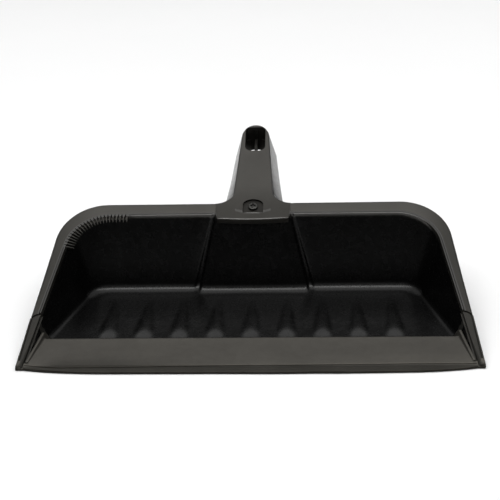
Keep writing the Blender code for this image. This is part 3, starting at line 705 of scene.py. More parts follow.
def arm_room(hand, sign):
    """Room for the lip's arm on top of the side wall."""
    xs = seam_xs(ROOM_INNER_X, ROOM_OUTER_X)
    places = [(ROOM_OUTER_X, ROOM_FRONT_Y), (ROOM_INNER_X, ROOM_FRONT_Y)] + [(x, seam_y(x)) for x in xs]
    rows = [[(x, y, rim_z(y, lift)) for x, y in places] for lift in (-ARM_CAP - GAP, CUT_MARGIN)]
    return side_prism(f"arm_room_{hand}", sign, rows)


def leg_room(hand, sign):
    """Room for the arm's outer leg beside the wall."""
    rows = []
    for z in (ROOM_LOW_Z, ROOM_TOP_Z):
        back_in = seam_at_wall(z)
        row = [(side_x(ROOM_FRONT_Y, z, WALL), ROOM_FRONT_Y), (ROOM_OUTER_X, ROOM_FRONT_Y)]
        row += [(ROOM_OUTER_X, SEAM_OUTER_Y), (rim_edge_x(SEAM_OUTER_Y), SEAM_OUTER_Y)]
        row.append((side_x(back_in, z, WALL), back_in))
        rows.append([(x, y, z) for x, y in row])
    return side_prism(f"leg_room_{hand}", sign, rows)


def comb_line():
    """The rim's inner edge round the left back corner, from the side to the back."""
    line = u_curve(side_x, back_plane(), rim_z, RIM_INNER_CORNER_R, PANEL_HALF_TOP, 0)
    left = [point for point in reversed(line) if point.x < -PANEL_HALF_TOP]
    start = next(i for i, point in enumerate(left) if point.y > COMB_START_Y)
    before, after = left[start - 1], left[start]
    kept = [before.lerp(after, (COMB_START_Y - before.y) / (after.y - before.y))]
    for before, point in zip(left[start - 1 :], left[start:]):
        if point.x > -COMB_END_X:
            kept.append(before.lerp(point, (-COMB_END_X - before.x) / (point.x - before.x)))
            break
        kept.append(point)
    return kept


def along_line(line, share):
    """The place at a share of a line's length, and the line's direction there."""
    lengths = [(b - a).length for a, b in zip(line, line[1:])]
    left = share * sum(lengths)
    for a, b, length in zip(line, line[1:], lengths):
        if left <= length + TINY:
            return a.lerp(b, min(left / length, 1.0)), (b - a).normalized()
        left -= length
    return line[-1], (line[-1] - line[-2]).normalized()


def tooth(index, line):
    """A comb tooth: a rounded wedge that starts on the rim and tapers to a point over the tub."""
    share = index / (COMB_TEETH - 1)
    place, along = along_line(line, share)
    inward = along.cross(RIM_UP).normalized()
    length = TOOTH_LENGTH - TOOTH_SHORTENING * smooth(share * 1.6)
    turns = [2 * math.pi * (k + 0.5) / 8 for k in range(8)]
    loops = []
    for step in range(7):
        run = step / 6
        width = TOOTH_HALF_WIDTH * (1 - run) ** 0.7 + TOOTH_TIP_HALF_WIDTH
        depth = TOOTH_HALF_DEPTH * (1 - run) ** 0.8 + TOOTH_TIP_HALF_DEPTH
        centre = place + inward * (run * (length + TOOTH_ROOT) - TOOTH_ROOT)
        centre -= RIM_UP * (depth - TOOTH_PROUD + TOOTH_DROP * run * run)
        loops.append([centre + along * (width * math.cos(t)) + RIM_UP * (depth * math.sin(t)) for t in turns])
    return loft_parts(loops)


def comb_gap(index, line):
    """The notch in the rim between two teeth."""
    place, along = along_line(line, (index + 0.5) / (COMB_TEETH - 1))
    inward = along.cross(RIM_UP).normalized()
    loops = []
    for lift in NOTCH_LIFTS:
        out = place - inward * NOTCH_ROOT + RIM_UP * lift
        over = place + inward * NOTCH_REACH + RIM_UP * lift
        root = along * NOTCH_ROOT_HALF
        mouth = along * NOTCH_OPEN_HALF
        loops.append([out - root, out + root, over + mouth, over - mouth])
    return loft_parts(loops)


def make_pan(materials):
    body = tub(materials)
    line = comb_line()
    steps = [
        ("UNION", seat_block()),
        ("UNION", rim_cylinder("boss", BOSS_R, -SADDLE_THICKNESS, -BOSS_DEPTH)),
        ("DIFFERENCE", saddle_seat()),
        ("DIFFERENCE", rim_cylinder("pilot", SCREW_SHANK_R + FIT_GAP, 0.0, -PILOT_DEPTH)),
        ("DIFFERENCE", front_room("tongue_rebate", TONGUE_BACK_Y, TONGUE_TOP)),
        ("DIFFERENCE", front_room("lip_heel_room", FILLET_START_Y, FLOOR_TOP + GAP / 2)),
    ]
    for sign, hand in ((1, "right"), (-1, "left")):
        steps.append(("DIFFERENCE", arm_room(hand, sign)))
        steps.append(("DIFFERENCE", leg_room(hand, sign)))
    steps.append(("DIFFERENCE", group("gaps", [comb_gap(index, line) for index in range(COMB_TEETH - 1)])))
    steps.append(("UNION", group("comb", [tooth(index, line) for index in range(COMB_TEETH)])))
    carve(body, steps)
    shade(body)
    declare(body, "pan_body")


# ---- front lip

LIP_STATIONS = 120
WAVES = ((21, 1.0, 1.0), (47, 0.6, 2.1), (113, 0.3, 1.0))
WAVES_TOTAL = 1.9
TIP_WAVE = 0.00035
STEP_WAVE = 0.0005
LINE_WAVE = 0.0004
CALM_BAND = 0.0060

# The fine lines along the blade (share of its width, height, wave) and the ramp's soft crest (run, drop)
FRONT_LINES = ((0.24, 0.00174, 2.2), (0.60, 0.00200, 3.7))
CREST_LINE = ((-0.0012, 0.00016), (-0.0005, 0.0), (0.0001, 0.00006), (0.0006, 0.0004), (0.0008, 0.0010))


def ramp_z(y):
    share = clamp((y - STEP_Y) / (CREST_Y - STEP_Y))
    return STEP_Z + (CREST_Z - STEP_Z) * share


def wave(x, seed, size):
    """A gentle unevenness along the soft lip."""
    total = sum(share * math.sin(turns * x + shift * seed) for turns, share, shift in WAVES)
    return size * total / WAVES_TOTAL


def ramp(materials):
    """The ramp with its bowed blade in front and its tongue over the floor's edge."""
    heel = TONGUE_BACK_Y - GAP
    front = TUB_FRONT_Y - FIT_GAP
    loops = []
    for k in range(LIP_STATIONS + 1):
        even = 2 * k / LIP_STATIONS - 1
        across = math.sin(math.pi * (k / LIP_STATIONS - 0.5)) * END_CROWDING + even * (1 - END_CROWDING)
        x = across * SIDE_FOOT_X
        tip = -LIP_BOW * (1 - abs(across) ** LIP_BOW_POWER) - wave(x, 0.4, TIP_WAVE) * (1 - across**4)
        step = STEP_Y - 0.0004 + STEP_SKEW * across + wave(x, 1.3, STEP_WAVE)
        edge = max(tip + LEAST_BAND, step)
        band = edge - tip
        calm = clamp(band / CALM_BAND) ** 3
        profile = [(tip + 0.0004, 0.0), (tip + 0.0001, 0.0002), (tip, 0.0007)]
        profile += [(tip + 0.0001, 0.0012), (tip + 0.0005, 0.0016)]
        for share, height, seed in FRONT_LINES:
            start = tip + band * share + wave(x, seed, LINE_WAVE) * calm
            profile.append((start, height))
            profile.append((start + 0.0003, height + 0.00016))
            profile.append((start + 0.0003 + band * 0.06, height + 0.00017))
        profile += [(edge - 0.0003, 0.00226), (edge, 0.00232), (edge + 0.0003, 0.00275)]
        profile += [(edge + 0.0007, 0.00308), (edge + 0.0012, 0.00321)]
        profile.append((edge + 0.0019, ramp_z(edge + 0.0019) + 0.00002))
        profile.append((0.012, ramp_z(0.012) + wave(x, 5.0, 0.00003)))
        profile.append((0.020, ramp_z(0.020) + wave(x, 6.0, 0.00004)))
        profile += [(CREST_Y + run, CREST_Z - drop) for run, drop in CREST_LINE]
        profile += [(CREST_Y + 0.0009, FLOOR_TOP + GAP), (heel, FLOOR_TOP + GAP)]
        profile += [(heel, TONGUE_TOP + GAP), (front, TONGUE_TOP + GAP), (front, 0.0)]
        loops.append([Vector((across * side_x(y, z, -GAP), y, z)) for y, z in profile])
    return loft("lip", loops, materials)


def section(y, corners, radii, count):
    """A rounded outline across the pan, from corners given as (x, z)."""
    ring = rounded_ring([Vector((x, z, 0.0)) for x, z in corners], radii, count)
    return [(p.x, y, p.y) for p in ring]


def cheek(hand, sign):
    """The upstand at the ramp's end: round on top, filleted into the ramp, with a rounded back end."""
    rise = (CHEEK_END_Z - CHEEK_FRONT_Z) / (CHEEK_END_Y - CHEEK_FRONT_Y)
    outward = -GAP - NUDGE
    inward = -GAP - CHEEK_THICKNESS
    rows = []
    ys = [CHEEK_FRONT_Y + (TONGUE_BACK_Y - 0.0004 - CHEEK_FRONT_Y) * k / 10 for k in range(11)]
    ys += [TONGUE_BACK_Y, CREST_Y - 0.0002, CREST_Y + 0.0006, 0.0312, 0.0322, 0.0328, CHEEK_END_Y + 0.0002]
    for y in ys:
        over_floor = y > TONGUE_BACK_Y - 0.0003
        bottom = (FLOOR_TOP if over_floor else TONGUE_TOP) + GAP + 0.00005
        ground = ramp_z(y) - 0.0001 if y < CREST_Y else FLOOR_TOP + 0.0004
        top = CHEEK_FRONT_Z + rise * (y - CHEEK_FRONT_Y)
        tail = clamp((y - CHEEK_TAIL_Y) / CHEEK_TAIL_LONG)
        top -= (top - ground - 0.0026) * (1 - math.sqrt(1 - (0.96 * tail) ** 2))
        fillet = min(CHEEK_FILLET_R, (top - ground) * 0.6) * (1 - 0.5 * tail)
        corners = [(side_x(y, bottom, outward), bottom), (side_x(y, top, outward), top)]
        corners += [(side_x(y, top, inward), top), (side_x(y, ground, inward), ground + 0.0002)]
        corners += [(side_x(y, z, inward) - fillet, z) for z in (ground, bottom)]
        rows.append(section(y, corners, [0.0001, 0.0009, 0.0009, 0.0030, 0.0001, 0.0001], 4))
    return side_prism(f"cheek_{hand}", sign, rows)


def corner_block(hand, sign):
    """The front corner, in front of the wall's end."""
    rows = []
    inner_x = side_x(TUB_FRONT_Y, 0.0) - 0.0010
    back_y = TUB_FRONT_Y - FIT_GAP - NUDGE
    for y, ramp_top in ((0.0002, 0.0012), (0.0008, 0.0017), (0.0024, 0.0020), (back_y, 0.0031)):
        outer_x = rim_edge_x(y) - 0.00005
        high_x = outer_x - 0.0030
        top = rim_z(y) - 0.00005 - 0.0008 * smooth((0.0012 - y) / 0.0012)
        corners = [(inner_x, 0.00004), (outer_x, 0.00004), (outer_x, top), (high_x, top)]
        corners += [(high_x - 0.0008, ramp_top), (inner_x, ramp_top)]
        rows.append(section(y, corners, [0.0001, 0.0004, 0.0005, 0.0004, 0.0004, 0.0001], 3))
    return side_prism(f"corner_{hand}", sign, rows)


def arm(hand, sign):
    """The arm that caps the side wall up to the seam: an inner strip, a groove and a thin outer strip."""
    rows = []
    for k in range(19):
        share = 1 - (1 - k / 18) ** 1.15
        y_outer = ARM_FRONT_Y + (SEAM_OUTER_Y - FIT_GAP - ARM_FRONT_Y) * share
        y_inner = ARM_FRONT_Y + (SEAM_INNER_Y - FIT_GAP - ARM_FRONT_Y) * share
        outer_x = rim_edge_x(y_outer)
        inner_x = side_x(y_inner, rim_z(y_inner)) + GAP
        bevel = ARM_BEVEL * (1 - smooth(share / 0.6))

        def place(x, lift):
            across = (x - inner_x) / (outer_x - inner_x)
            y = y_inner + (y_outer - y_inner) * across + seam_bow(across) * smooth((share - 0.7) / 0.3)
            return Vector((x, y, rim_z(y, lift)))

        low = max(0.00005, rim_z(y_outer) - ARM_LEG_DEPTH)
        leg_x = outer_x - ARM_LEG
        groove_x = outer_x - ARM_GROOVE_FROM_EDGE
        tail = ARM_TAIL_DROP * smooth((share - 0.93) / 0.07)
        corners = [place(outer_x, -0.0001), Vector((outer_x, y_outer, low))]
        corners.append(Vector((leg_x, place(leg_x, 0.0).y, low)))
        corners += [place(leg_x, -ARM_CAP), place(inner_x, -ARM_CAP)]
        corners.append(place(inner_x + bevel * 0.2, -bevel * 0.75 - 0.0001 - tail))
        corners += [place(inner_x + 0.0004 + bevel, -tail), place(groove_x - 0.0004, -0.0001 - tail)]
        corners += [place(groove_x + run, lift) for run, lift in ARM_GROOVE]
        radii = [0.0005, 0.0003, 0.0002, 0.0002, 0.0002, 0.0005, 0.0006, 0.0004, 0.0001, 0.0001, 0.0003]
        rows.append([(p.x, p.y, p.z) for p in rounded_ring(corners, radii, 2)])
    return side_prism(f"arm_{hand}", sign, rows)


def make_lip(materials):
    lip = ramp(materials)
    steps = []
    for sign, hand in ((1, "right"), (-1, "left")):
        steps.append(("UNION", cheek(hand, sign)))
        steps.append(("UNION", corner_block(hand, sign)))
        steps.append(("UNION", inside_colour(arm(hand, sign))))
    carve(lip, steps)
    shade(lip)
    declare(lip, "front_lip")


# ---- handle

EDGE_R = 0.0006
NOSE_R = 0.0015
RIM_JOIN = 0.0034
SADDLE_EDGE_R = 0.00004
SIDE_BEVEL_R = 0.0008
FLARE_STEPS = 14
EDGE_STEPS = 4
FLARE_SPREAD = 0.12
TOP_BLEND = 0.0008

# The grip's straight, drafted side below its top edge, as (spread, share of the depth)
SIDE_CORNERS = ((0.0, 0.0), (0.0004, 0.015), (0.0059, 1.0))


def handle_y(s):
    """Y of a place s up the grip's slope from the rim's back edge."""
    return RIM_BACK_Y + s * math.cos(HANDLE_SLOPE)


def handle_top(y):
    """Height of the saddle and the grip: two planes that blend softly behind the rim."""
    grip = rim_z(RIM_BACK_Y) + (y - RIM_BACK_Y) * math.tan(HANDLE_SLOPE)
    return soft_min(rim_z(y), grip, TOP_BLEND)


def behind_crescent(x, y):
    """How far a place on the saddle is behind the curved step in front of the screw."""
    return y / math.cos(RIM_SLOPE) - (CRESCENT_W + CRESCENT_CURVE * (x / CRESCENT_CURVE_X) ** 2)


def crescent(x, y):
    """Height of the soft curved step and of the low dome behind it."""
    behind = behind_crescent(x, y)
    side = clamp(1 - (x / CRESCENT_HALF) ** 2)
    dome = math.exp(-((max(behind, 0.0) / DOME_LONG) ** 2))
    return CRESCENT_HEIGHT * smooth(behind / CRESCENT_LONG) * dome * side


def handle_depth(s):
    share = clamp(s / HANDLE_FULL_DEPTH_S)
    return HANDLE_DEPTH_ROOT + (HANDLE_DEPTH - HANDLE_DEPTH_ROOT) * share


def outline_points():
    """The top's outline as (place, outward direction, edge radius, share of the side's spread, depth)."""
    right = []
    for k in range(13):
        x = (SADDLE_FRONT_HALF - 0.0004) * k / 12
        y = SADDLE_FRONT_Y - SADDLE_BOW * (1 - (x / SADDLE_FRONT_HALF) ** 2) + 0.0006
        radius = NOSE_R * (1 - 0.7 * smooth((k - 10) / 2))
        right.append((Vector((x, y)), Vector((0, -1)), radius, 0.0, SADDLE_THICKNESS))
    for k in range(9):
        y = SADDLE_FRONT_Y + 0.0016 + (RIM_BACK_Y - RIM_JOIN - SADDLE_FRONT_Y - 0.0018) * k / 8
        half = saddle_half(y / math.cos(RIM_SLOPE)) - SADDLE_EDGE_R
        right.append((Vector((half, y)), Vector((1, 0)), SADDLE_EDGE_R, 0.0, SADDLE_THICKNESS))
    for k in range(FLARE_STEPS + 1):
        share = k / FLARE_STEPS
        turn = math.pi / 2 * k / FLARE_STEPS
        x = HANDLE_ROOT_HALF + (SADDLE_HALF_BACK - SADDLE_EDGE_R - HANDLE_ROOT_HALF) * (1 - math.sin(turn))
        s = FIT_GAP + (FLARE_LENGTH - FIT_GAP) * (1 - math.cos(turn))
        out = Vector((math.sin(turn), math.cos(turn)))
        radius = RIM_JOIN + (EDGE_R - RIM_JOIN) * smooth(share * 1.3)
        spread = FLARE_SPREAD + (HANDLE_ROOT_SPREAD - FLARE_SPREAD) * smooth(share)
        right.append((Vector((x, handle_y(s))), out, radius, spread, handle_depth(s)))
    for k in range(1, 12):
        share = k / 12
        s = FLARE_LENGTH + (HANDLE_TIP_CENTRE - FLARE_LENGTH) * share
        half = HANDLE_ROOT_HALF + (HANDLE_TIP_HALF - HANDLE_ROOT_HALF) * share
        spread = HANDLE_ROOT_SPREAD + (1 - HANDLE_ROOT_SPREAD) * share
        right.append((Vector((half, handle_y(s))), Vector((1, 0)), EDGE_R, spread, handle_depth(s)))
    for k in range(17):
        turn = math.pi / 2 * k / 16
        s = HANDLE_TIP_CENTRE + HANDLE_TIP_LONG * math.sin(turn)
        place = Vector((HANDLE_TIP_HALF * math.cos(turn), handle_y(s)))
        spread = 1 - 0.60 * math.sin(turn) ** 2
        right.append((place, Vector((math.cos(turn), math.sin(turn))), EDGE_R, spread, handle_depth(s)))
    left = [(Vector((-p.x, p.y)), Vector((-n.x, n.y)), r, f, d) for p, n, r, f, d in reversed(right[1:-1])]
    return right + left


def side_profile():
    """The grip's side with its top corner rounded, as (spread, share of the depth)."""
    corners = [Vector((spread, share * HANDLE_DEPTH, 0.0)) for spread, share in SIDE_CORNERS]
    line = rounded(corners, [SIDE_BEVEL_R], [3])
    line[-1:] = [line[-2].lerp(line[-1], k / 4) for k in range(1, 5)]
    return [(point.x, point.y / HANDLE_DEPTH) for point in line[1:]]


def handle_place(x, s, drop):
    """The place x across and s up the grip, dropped straight down from its top."""
    return Vector((x, handle_y(s), handle_top(handle_y(s)) - drop))


def channel():
    """The hollow under the grip."""
    loops = []
    for drop, draft in ((HANDLE_WALL, 0.0), (HANDLE_DEPTH + CUT_MARGIN, CHANNEL_DRAFT)):
        tip_half = HANDLE_TIP_HALF - CHANNEL_SIDE + draft
        root_half = HANDLE_ROOT_HALF - CHANNEL_SIDE + draft
        side = [(root_half, CHANNEL_ROOT_S)]
        for k in range(6):
            s = CHANNEL_STRAIGHT_S + (HANDLE_TIP_CENTRE - CHANNEL_STRAIGHT_S) * k / 6
            side.append((root_half + (tip_half - root_half) * k / 6, s))
        for k in range(13):
            turn = math.pi / 2 * k / 12
            s = HANDLE_TIP_CENTRE + (HANDLE_TIP_LONG + draft - HANDLE_WALL) * math.sin(turn)
            side.append((tip_half * math.cos(turn), s))
        outline = side + [(-x, s) for x, s in reversed(side[:-1])]
        loops.append([handle_place(x, s, drop) for x, s in outline])
    return loft("channel", loops)


def rib():
    """The rib along the middle of the hollow, up to the tip."""
    far = HANDLE_TIP_CENTRE + HANDLE_TIP_LONG - HANDLE_WALL / 2
    rows = []
    for near, low in ((RIB_LOW_S, True), (RIB_HIGH_S, False)):
        places = ((-RIB_HALF, near), (RIB_HALF, near), (RIB_HALF, far), (-RIB_HALF, far))
        drops = [handle_depth(s) - RIB_SHORT if low else HANDLE_WALL / 2 for x, s in places]
        rows.append([handle_place(x, s, drop) for (x, s), drop in zip(places, drops)])
    return loft("rib", rows)


def spot_face():
    """The arched recess that the screw sits in."""
    arch_w = SPOT_FRONT_W + SPOT_STRAIGHT
    loops = []
    for lift, grow in ((-SPOT_DEPTH, 0.0), (CUT_MARGIN, 0.0002)):
        half = SPOT_HALF + grow
        arch = [(half, SPOT_FRONT_W - grow)]
        for k in range(25):
            turn = math.pi * k / 24
            arch.append((half * math.cos(turn), arch_w + (SPOT_ARCH_LONG + grow) * math.sin(turn)))
        arch.append((-half, SPOT_FRONT_W - grow))
        loops.append([on_rim(x, w, lift) for x, w in arch])
    return loft("spot_face", loops)


def hang_slot():
    """The slot near the tip, with a chamfer that widens it at the top."""
    loops = []
    for drop, grow in ((0.0100, 0.0), (0.0007, 0.0), (-0.0002, SLOT_CHAMFER), (-CUT_MARGIN, SLOT_CHAMFER)):
        half = SLOT_HALF_WIDTH + grow
        front = SLOT_FRONT_S - grow
        back = SLOT_BACK_S + grow * 0.4
        ring = [Vector((x, s, 0.0)) for x, s in ((half, front), (half, back), (-half, back), (-half, front))]
        radii = [SLOT_FRONT_R + grow, SLOT_BACK_R, SLOT_BACK_R, SLOT_FRONT_R + grow]
        loops.append([handle_place(p.x, p.y, drop) for p in rounded_ring(ring, radii, 8)])
    return loft("hang_slot", loops)


def handle_rings(outline):
    """The rings from the top's flat round its edge and down its sides."""
    rings = []
    for k in range(EDGE_STEPS + 1):
        turn = math.pi / 2 * k / EDGE_STEPS
        ring = []
        for place, out, radius, spread, depth in outline:
            at = place - out * (radius * (1 - math.sin(turn)))
            ring.append(Vector((at.x, at.y, handle_top(at.y) - radius * (1 - math.cos(turn)))))
        rings.append(ring)
    for wide, share in side_profile():
        ring = []
        for place, out, radius, spread, depth in outline:
            at = place + out * (wide * spread)
            ring.append(Vector((at.x, at.y, handle_top(place.y) - radius - (depth - radius) * share)))
        rings.append(ring)
    return rings


def handle_solid(materials):
    """Saddle and grip as one solid, with the materials of its top, inside (painted shade, also on the nose's
    lower face), nose and step, and sides.
    """
    outline = outline_points()
    count = len(outline)
    rings = handle_rings(outline)
    points = [point for ring in rings for point in ring]
    faces = []
    indices = []
    for row in range(len(rings) - 1):
        for k in range(count):
            low = row * count
            after = (k + 1) % count
            faces.append((low + k, low + after, low + count + after, low + count + k))
            nose = outline[k][1].y < -0.5
            side = outline[k][3] > 0.9 and row >= EDGE_STEPS - 1
            # The nose's lower rows take the darker inside material: painted shade below its lit upper rows.
            indices.append((2 if row < 2 else 1) if nose else 3 if side else 0)

    top = rings[0]
    places = grid(-0.0275, 0.0275, SADDLE_FRONT_Y + 0.002, 0.139, 0.0007, top, 0.0004)
    places += grid(-0.016, 0.016, 0.140, handle_y(HANDLE_TIP_CENTRE + HANDLE_TIP_LONG), 0.004, top, 0.0015)
    added = fill(points, faces, range(count), places, lambda x, y: handle_top(y) + crescent(x, y))
    for face in faces[-added:]:
        middle = sum((points[k] for k in face), Vector()) / len(face)
        on_step = 0.0 < behind_crescent(middle.x, middle.y) < CRESCENT_LONG
        indices.append(2 if on_step and abs(middle.x) < CRESCENT_DARK_HALF else 0)

    start = (len(rings) - 1) * count
    saddle_end = next(k for k in range(count) if outline[k][4] > SADDLE_THICKNESS)
    links = [(k, count - k) for k in (saddle_end - 1, saddle_end)]
    ring = range(start, start + count)
    indices += [0] * fill(points, faces, ring, [], lambda x, y: handle_top(y) - HANDLE_DEPTH_ROOT, links)
    return build("grip", points, faces, materials, indices)


def make_handle(materials):
    handle = handle_solid(materials)
    # The hollow, rib, recess and slot take the darker inside material: painted shade.
    steps = [
        ("DIFFERENCE", inside_colour(channel())),
        ("UNION", inside_colour(rib())),
        ("DIFFERENCE", inside_colour(spot_face())),
        ("DIFFERENCE", rim_cylinder("screw_hole", SCREW_SHANK_R + FIT_GAP, CUT_MARGIN, -0.012)),
        ("DIFFERENCE", inside_colour(hang_slot())),
    ]
    carve(handle, steps)
    shade(handle)
    declare(handle, "handle")


# ---- screw

def cross_bar(name, half_x, half_w, top):
    """One bar of the cross recess, narrower at its foot."""
    loops = []
    for lift, share in ((top - CROSS_DEPTH, 0.5), (top + 0.001, 1.2)):
        x = half_x * (share if half_x > half_w else 1)
        w = half_w * (share if half_w > half_x else 1)
        corners = ((-x, -w), (x, -w), (x, w), (-x, w))
        loops.append([on_rim(across, SCREW_W + up, lift) for across, up in corners])
    return loft(name, loops)


def make_screw(materials):
    seat = -SPOT_DEPTH + FIT_GAP
    radius = SCREW_SHANK_R
    rings = [(radius * 0.45, seat - 0.0110), (radius * 0.95, seat - THREAD_DEPTH)]
    for turn in range(THREAD_TURNS):
        base = seat - THREAD_DEPTH + turn * THREAD_PITCH
        rings += [(radius, base + 0.0003), (radius * 0.78, base + 0.0007)]
    rings += [(radius * 0.9, seat - 0.0002), (radius, seat), (SCREW_HEAD_R - 0.0001, seat)]
    rings += [(SCREW_HEAD_R, seat + 0.0001), (SCREW_HEAD_R, seat + SCREW_HEAD_HEIGHT * 0.35)]
    for k in range(1, 8):
        turn = math.pi / 2 * k / 8
        height = SCREW_HEAD_HEIGHT * (0.35 + 0.65 * math.sin(turn))
        rings.append((SCREW_HEAD_R * math.cos(turn) ** 0.6, seat + height))
    screw = loft("screw", [rim_circle(radius, lift) for radius, lift in rings], materials)
    top = seat + SCREW_HEAD_HEIGHT
    bars = (("cross_a", CROSS_LONG, CROSS_SHORT), ("cross_b", CROSS_SHORT, CROSS_LONG))
    carve(screw, [("DIFFERENCE", cross_bar(*bar, top)) for bar in bars])
    shade(screw, SCREW_SHARP_DEGREES)
    declare(screw, "handle_screw")


# ---- materials

WARM = (1.0, 0.955, 0.875, 1.0)
CHARCOAL = ((0.007, 0.0068, 0.0058), (0.015, 0.0145, 0.0128))
POLISHED = ((0.007, 0.0068, 0.0060), (0.015, 0.0145, 0.0130))
WORN_CHARCOAL = (0.034, 0.032, 0.028)
WORN_POLISHED = (0.030, 0.029, 0.026)
WORN_RUBBER = (0.05, 0.047, 0.041)
BUMP_DISTANCES = (0.0002, 0.0003, 0.0010)


def node(tree, kind, settings=None, **attributes):
    """A shader node, with the settings of its sockets and its own attributes."""
    made = tree.nodes.new(kind)
    for key, value in attributes.items():
        setattr(made, key, value)
    for key, value in (settings or {}).items():
        made.inputs[key].default_value = value
    return made


def new_material(name, settings):
    """A material with its shader set; returns it, its node tree, its shader and the object's coordinates."""
    material = bpy.data.materials.new(name)
    material.use_nodes = True
    tree = material.node_tree
    shader = tree.nodes["Principled BSDF"]
    for key, value in settings.items():
        shader.inputs[key].default_value = value
    return material, tree, shader, node(tree, "ShaderNodeTexCoord").outputs["Object"]


def texture(tree, place, kind, **settings):
    """A procedural texture at a place, with its sockets set."""
    made = node(tree, kind, {key.title(): value for key, value in settings.items()})
    tree.links.new(place, made.inputs["Vector"])
    return made


def stops(tree, source, *places):
    """Maps a value through grey or coloured stops."""
    made = tree.nodes.new("ShaderNodeValToRGB")
    for element, (place, value) in zip(made.color_ramp.elements, places):
        element.position = place
        element.color = (*value, 1.0) if isinstance(value, tuple) else (value, value, value, 1.0)
    tree.links.new(source, made.inputs["Fac"])
    return made.outputs["Color"]


def remap(tree, source, start, end, low, high, **attributes):
    """Maps a value from one range to another."""
    ranges = {"From Min": start, "From Max": end, "To Min": low, "To Max": high}
    made = node(tree, "ShaderNodeMapRange", ranges, **attributes)
    tree.links.new(source, made.inputs["Value"])
    return made.outputs["Result"]


def plastic(name, colours, worn_colour, shine, rough, grain, tint=WARM, fade=None):
    """Moulded plastic: mottled colour, fine moulded grain, uneven gloss and paler, rubbed edges.

    fade is an axis, two places on it, and the shine at each.
    """
    settings = {"Specular IOR Level": shine, "Specular Tint": tint}
    material, tree, shader, place = new_material(name, settings)
    link = tree.links.new
    mottle = texture(tree, place, "ShaderNodeTexNoise", scale=38.0, detail=5.0, roughness=0.6)
    fine = texture(tree, place, "ShaderNodeTexNoise", scale=1500.0, detail=3.0, roughness=0.6)
    streak = texture(tree, place, "ShaderNodeTexNoise", scale=240.0, detail=4.0, roughness=0.55)
    pits = texture(tree, place, "ShaderNodeTexVoronoi", scale=1100.0)

    pointiness = node(tree, "ShaderNodeNewGeometry").outputs["Pointiness"]
    rubbed = node(tree, "ShaderNodeMath", operation="MULTIPLY")
    link(stops(tree, pointiness, (0.535, 0.0), (0.62, 1.0)), rubbed.inputs[0])
    link(stops(tree, streak.outputs["Fac"], (0.42, 0.0), (0.66, 1.0)), rubbed.inputs[1])
    worn = node(tree, "ShaderNodeMix", {}, data_type="RGBA")
    link(rubbed.outputs["Value"], worn.inputs["Factor"])
    link(stops(tree, mottle.outputs["Fac"], (0.30, colours[0]), (0.70, colours[1])), worn.inputs["A"])
    worn.inputs["B"].default_value = (*worn_colour, 1.0)
    link(worn.outputs["Result"], shader.inputs["Base Color"])
    link(remap(tree, streak.outputs["Fac"], 0.3, 0.7, *rough), shader.inputs["Roughness"])

    if fade:
        axis, *reach = fade
        split = node(tree, "ShaderNodeSeparateXYZ")
        link(place, split.inputs["Vector"])
        along = split.outputs[axis]
        if axis == "X":
            size = node(tree, "ShaderNodeMath", operation="ABSOLUTE")
            link(along, size.inputs[0])
            along = size.outputs["Value"]
        link(remap(tree, along, *reach, interpolation_type="SMOOTHSTEP"), shader.inputs["Specular IOR Level"])

    heights = (fine.outputs["Fac"], pits.outputs["Distance"], mottle.outputs["Fac"])
    before = None
    for height, strength, distance in zip(heights, grain, BUMP_DISTANCES):
        bump = node(tree, "ShaderNodeBump", {"Strength": strength, "Distance": distance})
        link(height, bump.inputs["Height"])
        if before:
            link(before.outputs["Normal"], bump.inputs["Normal"])
        before = bump
    link(before.outputs["Normal"], shader.inputs["Normal"])
    return material


def dark_steel():
    """Black-oxide steel: nearly black, with fine uneven marks."""
    material, tree, shader, place = new_material("dark_steel", {"Metallic": 1.0})
    mottle = texture(tree, place, "ShaderNodeTexNoise", scale=900.0, detail=4.0).outputs["Fac"]
    fine = texture(tree, place, "ShaderNodeTexNoise", scale=3500.0, detail=2.0).outputs["Fac"]
    colour = stops(tree, mottle, (0.30, (0.018, 0.018, 0.017)), (0.70, (0.05, 0.049, 0.046)))
    tree.links.new(colour, shader.inputs["Base Color"])
    tree.links.new(stops(tree, mottle, (0.30, 0.22), (0.75, 0.42)), shader.inputs["Roughness"])
    bump = node(tree, "ShaderNodeBump", {"Strength": 0.15, "Distance": 0.0001})
    tree.links.new(fine, bump.inputs["Height"])
    tree.links.new(bump.outputs["Normal"], shader.inputs["Normal"])
    return material


def pale_floor():
    """The plain pale floor, with a barely visible unevenness."""
    settings = {"Specular IOR Level": 0.1, "Roughness": 0.9}
    material, tree, shader, place = new_material("pale_floor", settings)
    mottle = texture(tree, place, "ShaderNodeTexNoise", scale=6.0, detail=3.0).outputs["Fac"]
    tree.links.new(stops(tree, mottle, (0.3, 0.83), (0.7, 0.84)), shader.inputs["Base Color"])
    return material


def pan_materials(edge):
    """Grained rim, glossy tub painted near black as shade, underside and polished edge; the rim and tub dull
    towards the sides.
    """
    # The tub's inside is the rim's plastic with its colour painted about ten times darker: painted shade on
    # walls and floor.
    black = ((0.0008, 0.0008, 0.0008), (0.002, 0.002, 0.002))
    under = ((0.008, 0.0078, 0.0070), (0.016, 0.0155, 0.0138))
    return [
        plastic(
            "pan_grain", CHARCOAL, WORN_CHARCOAL, 0.5, (0.34, 0.46), (0.10, 0.06, 0.05),
            fade=("X", 0.112, 0.142, 0.50, 0.27),
        ),
        plastic(
            "pan_gloss_painted_shade", black, (0.02, 0.02, 0.019), 0.24, (0.23, 0.30), (0.02, 0.01, 0.01),
            (1.0, 1.0, 0.99, 1.0), ("X", 0.104, 0.122, 0.24, 0.12),
        ),
        plastic("pan_under", under, (0.028, 0.027, 0.024), 0.45, (0.38, 0.52), (0.12, 0.08, 0.04)),
        edge,
    ]


